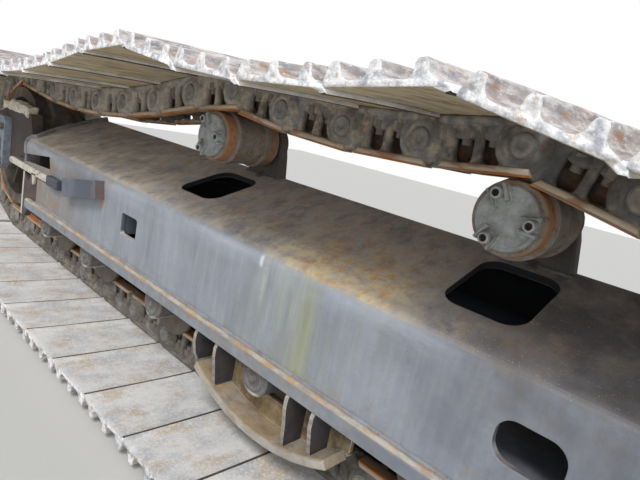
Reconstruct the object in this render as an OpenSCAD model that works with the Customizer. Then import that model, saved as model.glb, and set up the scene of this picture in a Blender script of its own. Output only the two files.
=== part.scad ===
// Left-hand crawler track unit of a 20-tonne class excavator.
// X runs to the idler end, Y outboard and Z up; Z = 0 is the ground.

/* [Track] */
// Distance between two neighbouring track pins
pitch = 190; // [180:1:200]
// Number of links, and of shoes, in the closed track
links = 49; // [45:2:51]
// Width of a shoe across the track
shoe_w = 800; // [600:10:900]
// Thickness of a shoe's flat plate
shoe_t = 10; // [8:1:14]
// Height of a grouser above its plate
grouser_h = 25; // [18:1:32]
// Place of the first pin on the lower run, in front of the frame's middle
pin_start = 138; // [100:1:150]
// Distance from the pin line to the inside of a shoe
pin_to_shoe = 45; // [42:1:50]
// Distance from the pin line to a link's rail surface
pin_to_rail = 50; // [46:1:54]
// Distance along the link from its first pin to the edge of its shoe
shoe_lead = 30; // [20:1:50]
// Thickness of one link plate
link_t = 33; // [28:1:38]
// Clear width between the two link plates
link_gap = 124; // [110:1:136]
// Diameter of a track bushing
bushing_d = 59; // [50:1:64]
// Length of the window in a link plate
window_l = 62; // [50:1:70]
// Height of the window in a link plate
window_h = 26; // [18:1:30]
// Height of the strip between a link's window and its shoe
window_strip = 12; // [9:1:14]

/* [Wheels] */
// How far the middle between idler and sprocket lies in front of the frame's middle
wheels_forward = 24; // [0:1:40]
// Height of the idler's axis above the rolling height of its wrap
idler_lift = 4; // [0:1:12]
// Height of the sprocket's axis above the rolling height of its wrap
sprocket_lift = 20; // [16:1:26]
// Height of the idler's centre guide above its tread
idler_guide_h = 20; // [12:1:22]
// Diameter of the idler's axle
axle_d = 88; // [76:1:96]
// Number of tooth gaps on the sprocket
sprocket_gaps = 21; // [21:2:21]
// Clearance between a bushing and its tooth gap
tooth_gap = 2.5; // [2:0.5:4]
// Thickness of the sprocket
sprocket_w = 64; // [54:1:76]
// Tread diameter of a bottom roller
roller_d = 156; // [140:1:160]
// Diameter of a bottom roller's outer flange
roller_flange_d = 190; // [180:1:198]
// Place of the middle bottom roller along the frame
roller_mid_x = 30; // [10:1:50]
// Distance from the middle bottom roller to the next one
roller_step = 438; // [420:1:445]
// Distance from there to the third roller
roller_step_next = 427; // [410:1:435]
// Distance from there to the end roller
roller_step_end = 345; // [330:1:350]
// Tread diameter of a carrier roller
carrier_d = 128; // [122:1:134]
// Place of the front carrier roller along the frame
carrier_front_x = 443; // [400:1:480]
// Place of the rear carrier roller along the frame
carrier_rear_x = -380; // [-420:1:-340]
// Height of the carrier rollers' axis
carrier_z = 685; // [675:1:692]

/* [Side frame] */
// Thickness of the frame's plates
plate_t = 14; // [10:1:18]
// Distance from the chain's centre to the frame's side faces
frame_y = 190; // [180:1:200]
// Height of the lip's underside above the ground
lip_z = 240; // [230:1:250]
// Thickness of the bottom lip
lip_t = 34; // [28:1:38]
// How far the lip stands out of the side plate
lip_out = 15; // [8:1:24]
// Height at which the side plate and the sloping top would meet
corner_z = 489; // [475:1:500]
// Slope of the top
top_slope = 19.4; // [16:0.2:22]
// Outer radius of the fold between side and top
fold_r = 32; // [24:1:44]
// Outer radius of the ridge of the sloping top
ridge_r = 60; // [50:1:80]
// Clearance between the idler's guide and the frame's front edge
front_gap = 46; // [16:1:60]
// Clearance between the sprocket's teeth and the frame's rear end
rear_gap = 54; // [40:1:110]
// Radius of the frame's front edge, seen from above
front_edge_r = 306; // [280:2:340]
// Height of the guide bars' underside
bar_z = 366; // [356:1:374]
// Thickness of a guide bar
bar_t = 30; // [24:1:34]
// Distance along the frame between its middle and a leg
leg_x = 650; // [560:10:740]
// Distance from the chain's centre to the legs' mounting faces
leg_face_y = 400; // [360:5:400]

/* [Idler slide] */
// Distance from the chain's centre to the inside of a yoke arm
arm_y = 108; // [106:1:112]
// Thickness of a yoke arm
arm_t = 42; // [34:1:46]
// Height of a yoke arm's top above the idler's axis
arm_rise = 170; // [150:2:180]
// Outer diameter of the recoil spring
spring_d = 168; // [150:2:180]
// Diameter of the recoil spring's wire
spring_wire = 32; // [26:1:36]
// Number of turns of the recoil spring
spring_turns = 13; // [11:1:14]

/* [Centre guard] */
// Radius of the guard's curved bottom bar
guard_r = 466; // [440:2:500]
// Height of the guard's lowest point above the ground
guard_z = 87; // [80:1:95]
// Thickness of the bottom bar
guard_bar_t = 30; // [24:1:34]
// Half the length of the guard
guard_half = 222; // [210:2:230]

/* [Hidden] */
$fn = 48;

seat = 0.3;
fit = 0.1;
running_gap = 1;
deg_per_link = 360 * 2 / sprocket_gaps;
pin_r = pitch / 2 / sin(deg_per_link / 2);
low_pin_z = pin_to_shoe + shoe_t + grouser_h;
idler_z = low_pin_z + pin_r + idler_lift;
sprocket_z = low_pin_z + pin_r + sprocket_lift;
idler_r = sqrt(pin_r * pin_r - pitch * pitch / 4) - pin_to_rail - running_gap;
rail_top_z = low_pin_z + pin_to_rail;
chain_half = link_gap / 2 + link_t;
roller_z = rail_top_z + roller_d / 2 + seat;

// Height of the pin line over each carrier roller: a link lies across the front one,
// and a pin stands over the rear one
crest_front = carrier_z + carrier_d / 2 + pin_to_rail + 19.4;
crest_rear = carrier_z + carrier_d / 2 + pin_to_rail + 5.9;

// Places of the bottom rollers; the lower run stays level for one link past the last ones
roller_reach = roller_step + roller_step_next + roller_step_end;
ROLLER_XS = [for (d = [0, roller_step, roller_step + roller_step_next, roller_reach], s = [-1, 1])
    if (d > 0 || s > 0) roller_mid_x + s * d];
flat_front = roller_mid_x + roller_reach + pitch;
flat_rear = roller_mid_x - roller_reach - pitch;

// Sag of the three free spans of the upper run, from the front
sag_front = 82;
sag_mid = 34;
sag_rear = 84;
function span_extra(w, h, s) = sqrt(w * w + h * h) - w + 8 * s * s / 3 / w;
guess_x = (links - sprocket_gaps / 2) * pitch / 4;
extra = span_extra(guess_x + wheels_forward - carrier_front_x, crest_front - idler_z - pin_r, sag_front)
    + span_extra(carrier_front_x - carrier_rear_x, crest_front - crest_rear, sag_mid)
    + span_extra(guess_x - wheels_forward + carrier_rear_x, crest_rear - sprocket_z - pin_r, sag_rear)
    + span_extra(guess_x - wheels_forward + flat_rear, sprocket_lift, 0);
half_base = ((links - sprocket_gaps / 2) * pitch - extra) / 4;
idler_x = wheels_forward + half_base;
sprocket_x = wheels_forward - half_base;

// The closed line through the track pins, as [x, z] points from the middle of the
// lower run forward, with the number of links from the start as the running value.
arc_steps = 36;
span_steps = 12;
function sagged(x0, z0, x1, z1, s, from) = [for (i = [from:span_steps]) let (t = i / span_steps)
    [x0 + (x1 - x0) * t, z0 + (z1 - z0) * t - 4 * s * t * (1 - t)]];
function wrap(x, z, a0, from) = [for (i = [from:arc_steps]) let (a = a0 + 180 * i / arc_steps)
    [x + pin_r * cos(a), z + pin_r * sin(a)]];
line_pts = concat([[0, low_pin_z], [flat_front, low_pin_z]], wrap(idler_x, idler_z, -90, 0),
    sagged(idler_x, idler_z + pin_r, carrier_front_x, crest_front, sag_front, 1),
    sagged(carrier_front_x, crest_front, carrier_rear_x, crest_rear, sag_mid, 1),
    sagged(carrier_rear_x, crest_rear, sprocket_x, sprocket_z + pin_r, sag_rear, 1),
    wrap(sprocket_x, sprocket_z, 90, 1), [[flat_rear, low_pin_z], [0, low_pin_z]]);
function on_wrap(p, q) = max(p[0], q[0]) > idler_x + 0.001 || min(p[0], q[0]) < sprocket_x - 0.001;
function links_between(p, q) = norm(q - p) / (on_wrap(p, q) ? 2 * pin_r * sin(90 / arc_steps)
    * deg_per_link * arc_steps / 180 : pitch);
link_steps = [for (i = [1:len(line_pts) - 1]) links_between(line_pts[i - 1], line_pts[i])];
run = [for (i = 0, u = 0; i <= len(link_steps); u = u + (i < len(link_steps) ? link_steps[i] : 0),
    i = i + 1) u];
run_scale = run[len(run) - 1] / links;
table_x = [for (i = [0:len(run) - 1]) [run[i] / run_scale, line_pts[i][0]]];
table_z = [for (i = [0:len(run) - 1]) [run[i] / run_scale, line_pts[i][1]]];
function pin_at(i) = let (u = (i + pin_start / pitch + links) % links)
    [lookup(u, table_x), lookup(u, table_z)];

// A point of link i: t along it from its first pin, n outward from the pin line
function along(i) = let (d = pin_at(i + 1) - pin_at(i)) d / norm(d);
function outward(i) = let (d = along(i)) [d[1], -d[0]];
function link_point(i, t, n) = pin_at(i) + along(i) * t + outward(i) * n;
// The point over pin i where the lines at distance n along both its links meet
function joint_point(i, n) = let (a = outward(i - 1), b = outward(i)) pin_at(i) + (a + b) * n / (1 + a * b);
function joint_ring(n) = [for (i = [0:links - 1]) joint_point(i, n)];

// Outline of one shoe's outer side: t from its edge, share of the grouser's height
SHOE_TEETH = [[4, 0], [15, 1], [26, 0], [70, 0], [82, 1], [94, 0], [138, 0], [150, 1], [162, 0]];
shoe_outer = [for (i = [0:links - 1]) each [for (p = SHOE_TEETH)
    link_point(i, shoe_lead + p[0], pin_to_shoe + shoe_t + p[1] * grouser_h)]];
shoe_xs = [for (p = shoe_outer) p[0]];
mid_x = (min(shoe_xs) + max(shoe_xs)) / 2;
low_z = min([for (p = shoe_outer) p[1]]);

// Places along the frame, from the wheels
front_x = idler_x - idler_r - idler_guide_h - front_gap;
tooth_r = pin_r + 22;
rear_x = sprocket_x + tooth_r + rear_gap;
side_front_x = front_x - 47;
fork_x = front_x - 194;
bar_rear_x = front_x - 318;
bar_front_x = front_x + 98;
bar_top_z = bar_z + bar_t;
lip_top = lip_z + lip_t;
flange_in = chain_half + 30;
roller_end_y = chain_half + 24;
collar_r = 42;
collar_y = 183;
ring_t = 30;
drive_r = 180;
plug_y = 70;
head_x = front_x - 90;
head_l = 45;
head_h = 70;
head_z = bar_top_z + seat + head_h / 2;
seat_plate_x = 680;
seat_plate_t = 20;
spring_front_x = head_x - 200;
block_y = arm_y + arm_t + seat;

// The origin lies on the ground below the middle of the track's length
module at_origin() {
    translate([-mid_x, 0, -low_z]) children();
}
// Profiles are drawn in X and Z, then stood up with their thickness along Y
module upright(y0, y1) {
    translate([0, y1, 0]) rotate([90, 0, 0]) linear_extrude(y1 - y0) children();
}
// Profiles drawn in Y and Z, run along X
module lengthwise(x0, x1) {
    translate([x0, 0, 0]) rotate([90, 0, 90]) linear_extrude(x1 - x0) children();
}
module across(x, z, y0, y1, d) {
    translate([x, y1, z]) rotate([90, 0, 0]) cylinder(d = d, h = y1 - y0);
}
// Profiles drawn as [radius, y], turned about a line along Y
module turned(x, z) {
    translate([x, 0, z]) rotate([-90, 0, 0]) rotate_extrude($fn = 72) children();
}
module both_sides() {
    children();
    mirror([0, 1, 0]) children();
}
module rounded_rect(lx, ly, r) {
    union() {
        square([lx - 2 * r, ly], center = true);
        square([lx, ly - 2 * r], center = true);
        for (sx = [-1, 1], sy = [-1, 1]) translate([sx * (lx / 2 - r), sy * (ly / 2 - r)]) circle(r);
    }
}
function arc(y, z, r, a0, a1, steps) = [for (i = [0:steps]) let (a = a0 + (a1 - a0) * i / steps)
    [y + r * cos(a), z + r * sin(a)]];

// Cross-section of the pressed box, open below, its walls moved in by inset
top_turn = 90 - top_slope;
fold_arc_z = corner_z - fold_r * tan(top_turn / 2);
ridge_arc_z = corner_z + (2 * frame_y - ridge_r) * tan(top_slope) - ridge_r / cos(top_slope);
ridge_z = ridge_arc_z + ridge_r;
module box_outline(inset) {
    polygon(concat([[frame_y - inset, lip_top]],
        arc(frame_y - fold_r, fold_arc_z, fold_r - inset, 0, top_turn, 7),
        arc(-frame_y + ridge_r, ridge_arc_z, ridge_r - inset, top_turn, 180, 9),
        [[-frame_y + inset, lip_top]]));
}

// Holes in the sloping top: x, y, length, width
TOP_HOLES = [[474, 20, 165, 165], [-377, 12, 155, 180]];
// Holes in the outer side: x, z, length, height, corner radius
SIDE_HOLES = [[633, 380, 90, 62, 10], [-541, 385, 106, 70, 30]];
// Corners of the slot above a guide bar: x from the frame's front, z from the bar's top
SLOT = [[-302, 22], [-288, 68], [-58, 38], [-62, 8]];

module side_frame() {
    color([0.38, 0.4, 0.42]) difference() {
        lengthwise(rear_x, front_x + 10) difference() {
            box_outline(0);
            box_outline(plate_t);
        }
        translate([0, 0, lip_top - 1]) linear_extrude(ridge_z - lip_top + 2)
            polygon(concat([for (y = [-191:24.9:158]) [front_x - front_edge_r
                + sqrt(front_edge_r * front_edge_r - (y + 37) * (y + 37)), y]],
                [[side_front_x, 168], [side_front_x, frame_y + 1], [front_x + 20, frame_y + 1],
                [front_x + 20, -191]]));
        both_sides() upright(frame_y - plate_t - 1, frame_y + 1) {
            polygon([[bar_rear_x, bar_z], [bar_rear_x, bar_top_z], [front_x, bar_top_z],
                [front_x, lip_top - 1], [fork_x, lip_top - 1], [fork_x, bar_z]]);
            polygon([for (p = SLOT) [front_x + p[0], bar_top_z + p[1]]]);
        }
        for (h = TOP_HOLES) translate([h[0], h[1], corner_z - 60]) linear_extrude(ridge_z - corner_z + 100)
            rounded_rect(h[2], h[3], 38);
        for (h = SIDE_HOLES) translate([h[0], frame_y + 10, h[1]]) rotate([90, 0, 0])
            linear_extrude(plate_t + 20) rounded_rect(h[2], h[3], h[4]);
    }
}
module bottom_flange() {
    color([0.35, 0.36, 0.38]) both_sides() lengthwise(rear_x, fork_x + 70)
        polygon([[flange_in, lip_z], [flange_in, lip_top], [frame_y + lip_out - 5, lip_top],
            [frame_y + lip_out, lip_top - 6], [frame_y + lip_out, lip_z]]);
}
// Fork plate below a guide bar, with an arch behind its front edge
module fork_plate() {
    upright(frame_y - plate_t - 8, frame_y) difference() {
        polygon([[fork_x, lip_top], [fork_x + 70, lip_top], [fork_x + 70, lip_z],
            [side_front_x - 40, lip_z - 45], [side_front_x, lip_z - 45], [side_front_x, bar_z],
            [fork_x, bar_z]]);
        translate([side_front_x - 46, bar_z]) circle(30);
    }
}
module fork_outer() {
    color([0.42, 0.36, 0.3]) fork_plate();
}
module fork_inner() {
    color([0.42, 0.36, 0.3]) mirror([0, 1, 0]) fork_plate();
}
module guide_bars() {
    color([0.8, 0.78, 0.7]) both_sides() {
        upright(arm_y + 10, frame_y + 8) union() {
            translate([bar_rear_x, bar_z]) square([bar_front_x - bar_rear_x - bar_t / 2, bar_t]);
            translate([bar_front_x - bar_t / 2, bar_z + bar_t / 2]) circle(d = bar_t);
        }
        upright(frame_y, frame_y + 8) polygon([[front_x - 192, bar_z], [front_x - 141, bar_z],
            [front_x - 164, bar_z - 30], [front_x - 178, bar_z - 30]]);
        upright(frame_y, frame_y + 22) translate([bar_rear_x - 98, bar_z + 6]) square([90, 34]);
    }
}
module side_step() {
    color([0.3, 0.31, 0.34]) upright(frame_y, frame_y + 30)
        polygon([[1028, 370], [1040, 430], [806, 474], [793, 420]]);
}
module leg(x) {
    flange_t = 25;
    root_y = flange_t - leg_face_y;
    color([0.33, 0.34, 0.36]) difference() {
        union() {
            intersection() {
                linear_extrude(ridge_z) polygon([[x - 130, root_y], [x + 130, root_y],
                    [x + 130, -frame_y - 90], [x + 175, -frame_y], [x - 175, -frame_y],
                    [x - 130, -frame_y - 90]]);
                lengthwise(x - 200, x + 200) polygon([[root_y, 305], [root_y, 490], [-frame_y, 520],
                    [-frame_y, lip_top + 6]]);
            }
            translate([x - 190, -leg_face_y, 270]) cube([380, flange_t, 260]);
        }
        for (dx = [-165, 165], z = [300, 500])
            translate([x + dx, -leg_face_y - 1, z]) rotate([-90, 0, 0]) cylinder(d = 26, h = flange_t + 2);
    }
}
module leg_front() leg(leg_x);
module leg_rear() leg(-leg_x);

carrier_in = 98;
cover_y = 90;
module carrier_bracket(x) {
    color([0.25, 0.25, 0.26]) difference() {
        union() {
            upright(-carrier_in - 40, -carrier_in - 8) union() {
                polygon([[x - 78, ridge_z - 70], [x - 50, carrier_z], [x + 50, carrier_z],
                    [x + 78, ridge_z - 70]]);
                translate([x, carrier_z]) circle(50);
            }
            across(x, carrier_z, -carrier_in - 56, -carrier_in, 84);
            lengthwise(x - 9, x + 9) polygon([[-carrier_in - 8, carrier_z - 84],
                [-carrier_in - 8, ridge_z - 60], [-20, ridge_z - 60], [-20, ridge_z - 20]]);
        }
        lengthwise(x - 90, x + 90) box_outline(0);
        translate([x - 90, -frame_y - 1, ridge_z - 80]) cube([180, 60, 28]);
    }
}
module carrier_bracket_front() carrier_bracket(carrier_front_x);
module carrier_bracket_rear() carrier_bracket(carrier_rear_x);
// Treads under the link plates, and two narrow flanges between them
module carrier_roller(x) {
    r = carrier_d / 2;
    color([0.42, 0.3, 0.2]) turned(x, carrier_z) polygon([[0, -carrier_in], [42, -carrier_in], [54, -94],
        [r, -90], [r, -56], [r + 7, -53], [r + 7, -43], [r + 2, -39], [r + 2, 39], [r + 7, 43],
        [r + 7, 53], [r, 56], [r, 87], [r - 3, cover_y], [0, cover_y]]);
}
module carrier_roller_front() carrier_roller(carrier_front_x);
module carrier_roller_rear() carrier_roller(carrier_rear_x);
// Bolted cover: three bosses, each between two ribs that reach past the rim
module carrier_cover(x) {
    cover_r = carrier_d / 2 - 9;
    rib_t = 5;
    color([0.45, 0.46, 0.48]) union() {
        turned(x, carrier_z) polygon([[0, cover_y], [cover_r, cover_y], [cover_r, cover_y + 8],
            [cover_r - 2, cover_y + 10], [cover_r - 6, cover_y + 10], [cover_r - 8, cover_y + 8],
            [0, cover_y + 8]]);
        for (a = [60, 180, 300]) translate([x, cover_y, carrier_z]) rotate([0, a, 0]) {
            for (s = [-1, 1]) translate([cover_r - 26, 0, s * 13 - rib_t / 2]) cube([25, 14, rib_t]);
            translate([cover_r - 12, 14.5, 0]) rotate([90, 0, 0]) cylinder(d = 17, h = 14.5);
        }
    }
}
module carrier_cover_front() carrier_cover(carrier_front_x);
module carrier_cover_rear() carrier_cover(carrier_rear_x);

module roller_half(x) {
    turned(x, roller_z) polygon([[0, 12], [55, 12], [60, link_gap / 2 - 14], [roller_d / 2, link_gap / 2 - 2],
        [roller_d / 2, chain_half + 4], [roller_flange_d / 2, chain_half + 7],
        [roller_flange_d / 2, chain_half + 18], [roller_flange_d / 2 - 22, roller_end_y], [0, roller_end_y]]);
}
module bottom_rollers_outer() {
    color([0.3, 0.27, 0.24]) for (x = ROLLER_XS) roller_half(x);
}
module bottom_rollers_inner() {
    color([0.3, 0.27, 0.24]) mirror([0, 1, 0]) for (x = ROLLER_XS) roller_half(x);
}
module roller_shafts() {
    color([0.3, 0.3, 0.3]) for (x = ROLLER_XS) across(x, roller_z, -12, 12, 110);
}
// Shaft ends: round below, flat against the lip's underside
module roller_collars() {
    color([0.3, 0.3, 0.3]) both_sides() for (x = ROLLER_XS) upright(roller_end_y, collar_y) intersection() {
        union() {
            translate([x, roller_z]) circle(collar_r);
            translate([x - collar_r, roller_z]) square([2 * collar_r, 2 * collar_r]);
        }
        translate([x - collar_r, lip_z - 4 * collar_r]) square([2 * collar_r, 4 * collar_r]);
    }
}
// Guard that keeps the chain on its middle rollers: a curved bar below an opened plate
guard_mid_x = 4;
guard_centre_z = guard_z + guard_r;
guard_end = asin(guard_half / guard_r);
function guard_edge(r, x) = guard_centre_z - sqrt(r * r - x * x);
module track_guard() {
    bar_in = guard_r - guard_bar_t;
    color([0.45, 0.36, 0.26]) both_sides() translate([guard_mid_x, 0, 0]) union() {
        upright(157, 200) polygon(concat(
            arc(0, guard_centre_z, guard_r, 270 - guard_end, 270 + guard_end, 12),
            arc(0, guard_centre_z, bar_in, 270 + guard_end, 270 - guard_end, 12)));
        upright(160, 172) difference() {
            polygon(concat([[-guard_half - 6, lip_z], [-guard_half - 6, guard_edge(bar_in, guard_half) - 4]],
                arc(0, guard_centre_z, bar_in + 4, 270 - guard_end + 1, 270 + guard_end - 1, 12),
                [[guard_half + 10, guard_edge(bar_in, guard_half) - 4], [guard_half + 10, lip_z]]));
            translate([-9, lip_z]) rounded_rect(172, 2 * (lip_z - roller_z + collar_r + 7), 40);
        }
    }
}
// Ribs of the guard: places along it from its middle
GUARD_RIBS = [226, 146, -97, -169];
module guard_ribs() {
    color([0.3, 0.3, 0.3]) both_sides() for (d = GUARD_RIBS)
        let (foot = guard_edge(guard_r - guard_bar_t, min(abs(d) + 6, 215)))
        lengthwise(guard_mid_x + d - 6, guard_mid_x + d + 6) polygon([[172, lip_z], [207, lip_z],
            [207, lip_z - 37], [188, (lip_z + foot) / 2 - 4], [182, foot + seat], [172, foot + seat]]);
}
module idler() {
    color([0.25, 0.24, 0.23]) union() {
        turned(idler_x, idler_z) polygon([[axle_d / 2, -97], [86, -97], [94, -18], [idler_r - 52, -14],
            [idler_r - 42, -92], [idler_r, -92], [idler_r, -42], [idler_r + idler_guide_h, -34],
            [idler_r + idler_guide_h, 34], [idler_r, 42], [idler_r, 92], [idler_r - 42, 92],
            [idler_r - 52, 14], [94, 18], [86, 97], [axle_d / 2, 97]]);
        for (k = [0:5]) translate([idler_x, 0, idler_z]) rotate([0, 60 * k, 0])
            translate([84, -70, -9]) cube([idler_r - 84 - 40, 140, 18]);
    }
}
module idler_axle() {
    color([0.3, 0.3, 0.3]) across(idler_x, idler_z, -160, 160, axle_d - fit);
}
// Bearing blocks bolted to the outside of the yoke's arms
module idler_blocks() {
    color([0.42, 0.45, 0.5]) both_sides() difference() {
        upright(block_y, block_y + 28) polygon([[idler_x - 78, idler_z - 70], [idler_x - 50, idler_z - 98],
            [idler_x + 50, idler_z - 98], [idler_x + 78, idler_z - 70], [idler_x + 78, idler_z + 110],
            [idler_x + 62, idler_z + 126], [idler_x - 62, idler_z + 126], [idler_x - 78, idler_z + 110]]);
        across(idler_x, idler_z, block_y - 1, 160, axle_d);
    }
}
module idler_yoke() {
    z0 = bar_top_z + seat;
    color([0.3, 0.3, 0.3]) union() {
        both_sides() difference() {
            upright(arm_y, arm_y + arm_t) polygon([[head_x, z0], [head_x, z0 + head_h],
                [front_x - 4, z0 + head_h], [front_x + 38, idler_z + arm_rise],
                [idler_x - 40, idler_z + arm_rise], [idler_x + 140, idler_z + arm_rise - 50],
                [idler_x + 140, idler_z - 20], [idler_x + 85, idler_z - 78],
                [idler_x - 85, idler_z - 78], [bar_front_x + 14, z0]]);
            across(idler_x, idler_z, arm_y - 1, arm_y + arm_t + 1, axle_d);
        }
        translate([head_x, -arm_y - 1, z0]) cube([head_l, 2 * arm_y + 2, head_h]);
    }
}
module recoil_spring() {
    x0 = seat_plate_x + seat_plate_t;
    spring_l = spring_front_x - seat - x0;
    turn_l = spring_l / spring_turns;
    TURN = [[-1, 0], [-0.3, 0.2], [0, 0.5], [-0.3, 0.8], [-1, 1]];
    color([0.35, 0.2, 0.12]) translate([x0, 0, head_z]) rotate([0, 90, 0]) rotate_extrude($fn = 72)
        polygon(concat([[0, 0]], [for (k = [0:spring_turns - 1]) each [for (p = TURN)
            if (k == 0 || p[1] > 0) [spring_d / 2 + p[0] * spring_wire / 2, (k + p[1]) * turn_l]]],
            [[0, spring_l]]));
}
// Grease cylinder between the spring and the yoke's head
module adjuster() {
    color([0.3, 0.3, 0.3]) translate([spring_front_x, 0, head_z]) rotate([0, 90, 0]) rotate_extrude()
        polygon([[0, 0], [spring_d / 2, 0], [spring_d / 2, 22], [60, 26], [60, 120], [52, 126], [34, 126],
            [34, head_x - spring_front_x], [0, head_x - spring_front_x]]);
}
module spring_seat() {
    color([0.33, 0.34, 0.36]) lengthwise(seat_plate_x, seat_plate_x + seat_plate_t) intersection() {
        box_outline(plate_t);
        translate([-frame_y, head_z - spring_d / 2 - 4]) square([2 * frame_y, spring_d + 8]);
    }
}
module motor_ring() {
    color([0.36, 0.37, 0.38]) difference() {
        union() {
            across(sprocket_x, sprocket_z, -frame_y, ring_t - frame_y, 470);
            upright(-frame_y, ring_t - frame_y) polygon([[rear_x, lip_z], [rear_x, ridge_arc_z],
                [sprocket_x, sprocket_z + 235], [sprocket_x, sprocket_z - 235]]);
        }
        across(sprocket_x, sprocket_z, -frame_y - 1, ring_t - frame_y + 1, 300);
    }
}
module sprocket() {
    p = pin_at(links - 14);
    first_gap = atan2(p[1] - sprocket_z, p[0] - sprocket_x);
    seat_r = bushing_d / 2 + tooth_gap;
    half = sprocket_w / 2;
    color([0.3, 0.28, 0.26]) intersection() {
        translate([sprocket_x, 0, sprocket_z]) upright(-half, half) difference() {
            circle(r = tooth_r, $fn = 96);
            circle(r = drive_r, $fn = 96);
            for (i = [0:sprocket_gaps - 1]) rotate(first_gap + i * 360 / sprocket_gaps)
                translate([pin_r, 0]) {
                circle(seat_r);
                polygon([[0, -seat_r], [30, -seat_r - 9], [30, seat_r + 9], [0, seat_r]]);
            }
        }
        turned(sprocket_x, sprocket_z) polygon([[drive_r - 20, -half - 1], [pin_r - 14, -half - 1],
            [pin_r + 30, 10 - half], [pin_r + 30, half - 10], [pin_r - 14, half + 1],
            [drive_r - 20, half + 1]]);
    }
}
// Travel drive: its housing carries the sprocket between two flanges
module final_drive() {
    half = sprocket_w / 2;
    root_y = ring_t - frame_y;
    color([0.35, 0.36, 0.37]) turned(sprocket_x, sprocket_z) polygon([[0, root_y], [215, root_y],
        [215, root_y + 22], [186, root_y + 30], [172, -half - 30], [drive_r, -half - 12], [drive_r, half],
        [222, half], [222, half + 16], [172, half + 22], [160, plug_y], [0, plug_y]]);
}
module final_drive_cover() {
    color([0.37, 0.38, 0.4]) turned(sprocket_x, sprocket_z) polygon([[0, plug_y], [158, plug_y],
        [158, plug_y + 16], [146, plug_y + 20], [138, plug_y + 44], [122, plug_y + 56],
        [60, plug_y + 60], [0, plug_y + 60]]);
}
module travel_motor() {
    color([0.3, 0.3, 0.32]) union() {
        turned(sprocket_x, sprocket_z) polygon([[0, -380], [96, -380], [104, -372], [104, -300], [120, -288],
            [120, ring_t - frame_y], [0, ring_t - frame_y]]);
        translate([sprocket_x - 60, -372, sprocket_z + 40]) cube([150, 110, 88]);
    }
}
module motor_guard() {
    color([0.36, 0.37, 0.38]) difference() {
        across(sprocket_x, sprocket_z, -392, -frame_y, 424);
        across(sprocket_x, sprocket_z, -393, -frame_y + 1, 400);
        translate([sprocket_x - 230, -394, sprocket_z - 40]) cube([330, 210, 300]);
    }
}

module ring_outline(outer, inner) {
    m = len(outer);
    polygon(concat(outer, inner), [[for (k = [0:m - 1]) k], [for (k = [0:len(inner) - 1]) m + k]]);
}
module track_shoes() {
    color([0.5, 0.47, 0.42]) upright(-shoe_w / 2, shoe_w / 2)
        ring_outline(shoe_outer, joint_ring(pin_to_shoe));
}
// All the link plates of one side, each with its window
module rail(y0, y1) {
    t0 = (pitch - window_l) / 2;
    n1 = pin_to_shoe - window_strip;
    upright(y0, y1) difference() {
        ring_outline(joint_ring(pin_to_shoe), joint_ring(-pin_to_rail));
        for (i = [0:links - 1]) polygon([link_point(i, t0, n1), link_point(i, t0 + window_l, n1),
            link_point(i, t0 + window_l, n1 - window_h), link_point(i, t0, n1 - window_h)]);
    }
}
module link_rail_outer() {
    color([0.33, 0.3, 0.27]) rail(link_gap / 2, chain_half);
}
module link_rail_inner() {
    color([0.33, 0.3, 0.27]) rail(-chain_half, -link_gap / 2);
}
module track_bushings() {
    color([0.3, 0.28, 0.26]) for (i = [0:links - 1]) let (p = pin_at(i))
        translate([p[0], link_gap / 2, p[1]]) rotate([90, 0, 0])
        cylinder(d = bushing_d, h = link_gap, $fn = 6);
}

at_origin() side_frame();
at_origin() bottom_flange();
at_origin() fork_outer();
at_origin() fork_inner();
at_origin() guide_bars();
at_origin() side_step();
at_origin() leg_front();
at_origin() leg_rear();
at_origin() carrier_bracket_front();
at_origin() carrier_bracket_rear();
at_origin() carrier_roller_front();
at_origin() carrier_roller_rear();
at_origin() carrier_cover_front();
at_origin() carrier_cover_rear();
at_origin() bottom_rollers_outer();
at_origin() bottom_rollers_inner();
at_origin() roller_shafts();
at_origin() roller_collars();
at_origin() track_guard();
at_origin() guard_ribs();
at_origin() idler();
at_origin() idler_axle();
at_origin() idler_blocks();
at_origin() idler_yoke();
at_origin() recoil_spring();
at_origin() adjuster();
at_origin() motor_ring();
at_origin() sprocket();
at_origin() final_drive();
at_origin() final_drive_cover();
at_origin() travel_motor();
at_origin() motor_guard();
at_origin() track_shoes();
at_origin() link_rail_outer();
at_origin() link_rail_inner();
at_origin() track_bushings();
at_origin() spring_seat();
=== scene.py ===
# Left-hand track unit of a crawler excavator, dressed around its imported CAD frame.
# Sizes are millimetres in the track's own axes: x runs to the idler, y outboard, z up.
import math

import bmesh
import bpy
import numpy as np
from mathutils import Matrix, Vector, noise
from mathutils.geometry import tessellate_polygon


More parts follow.
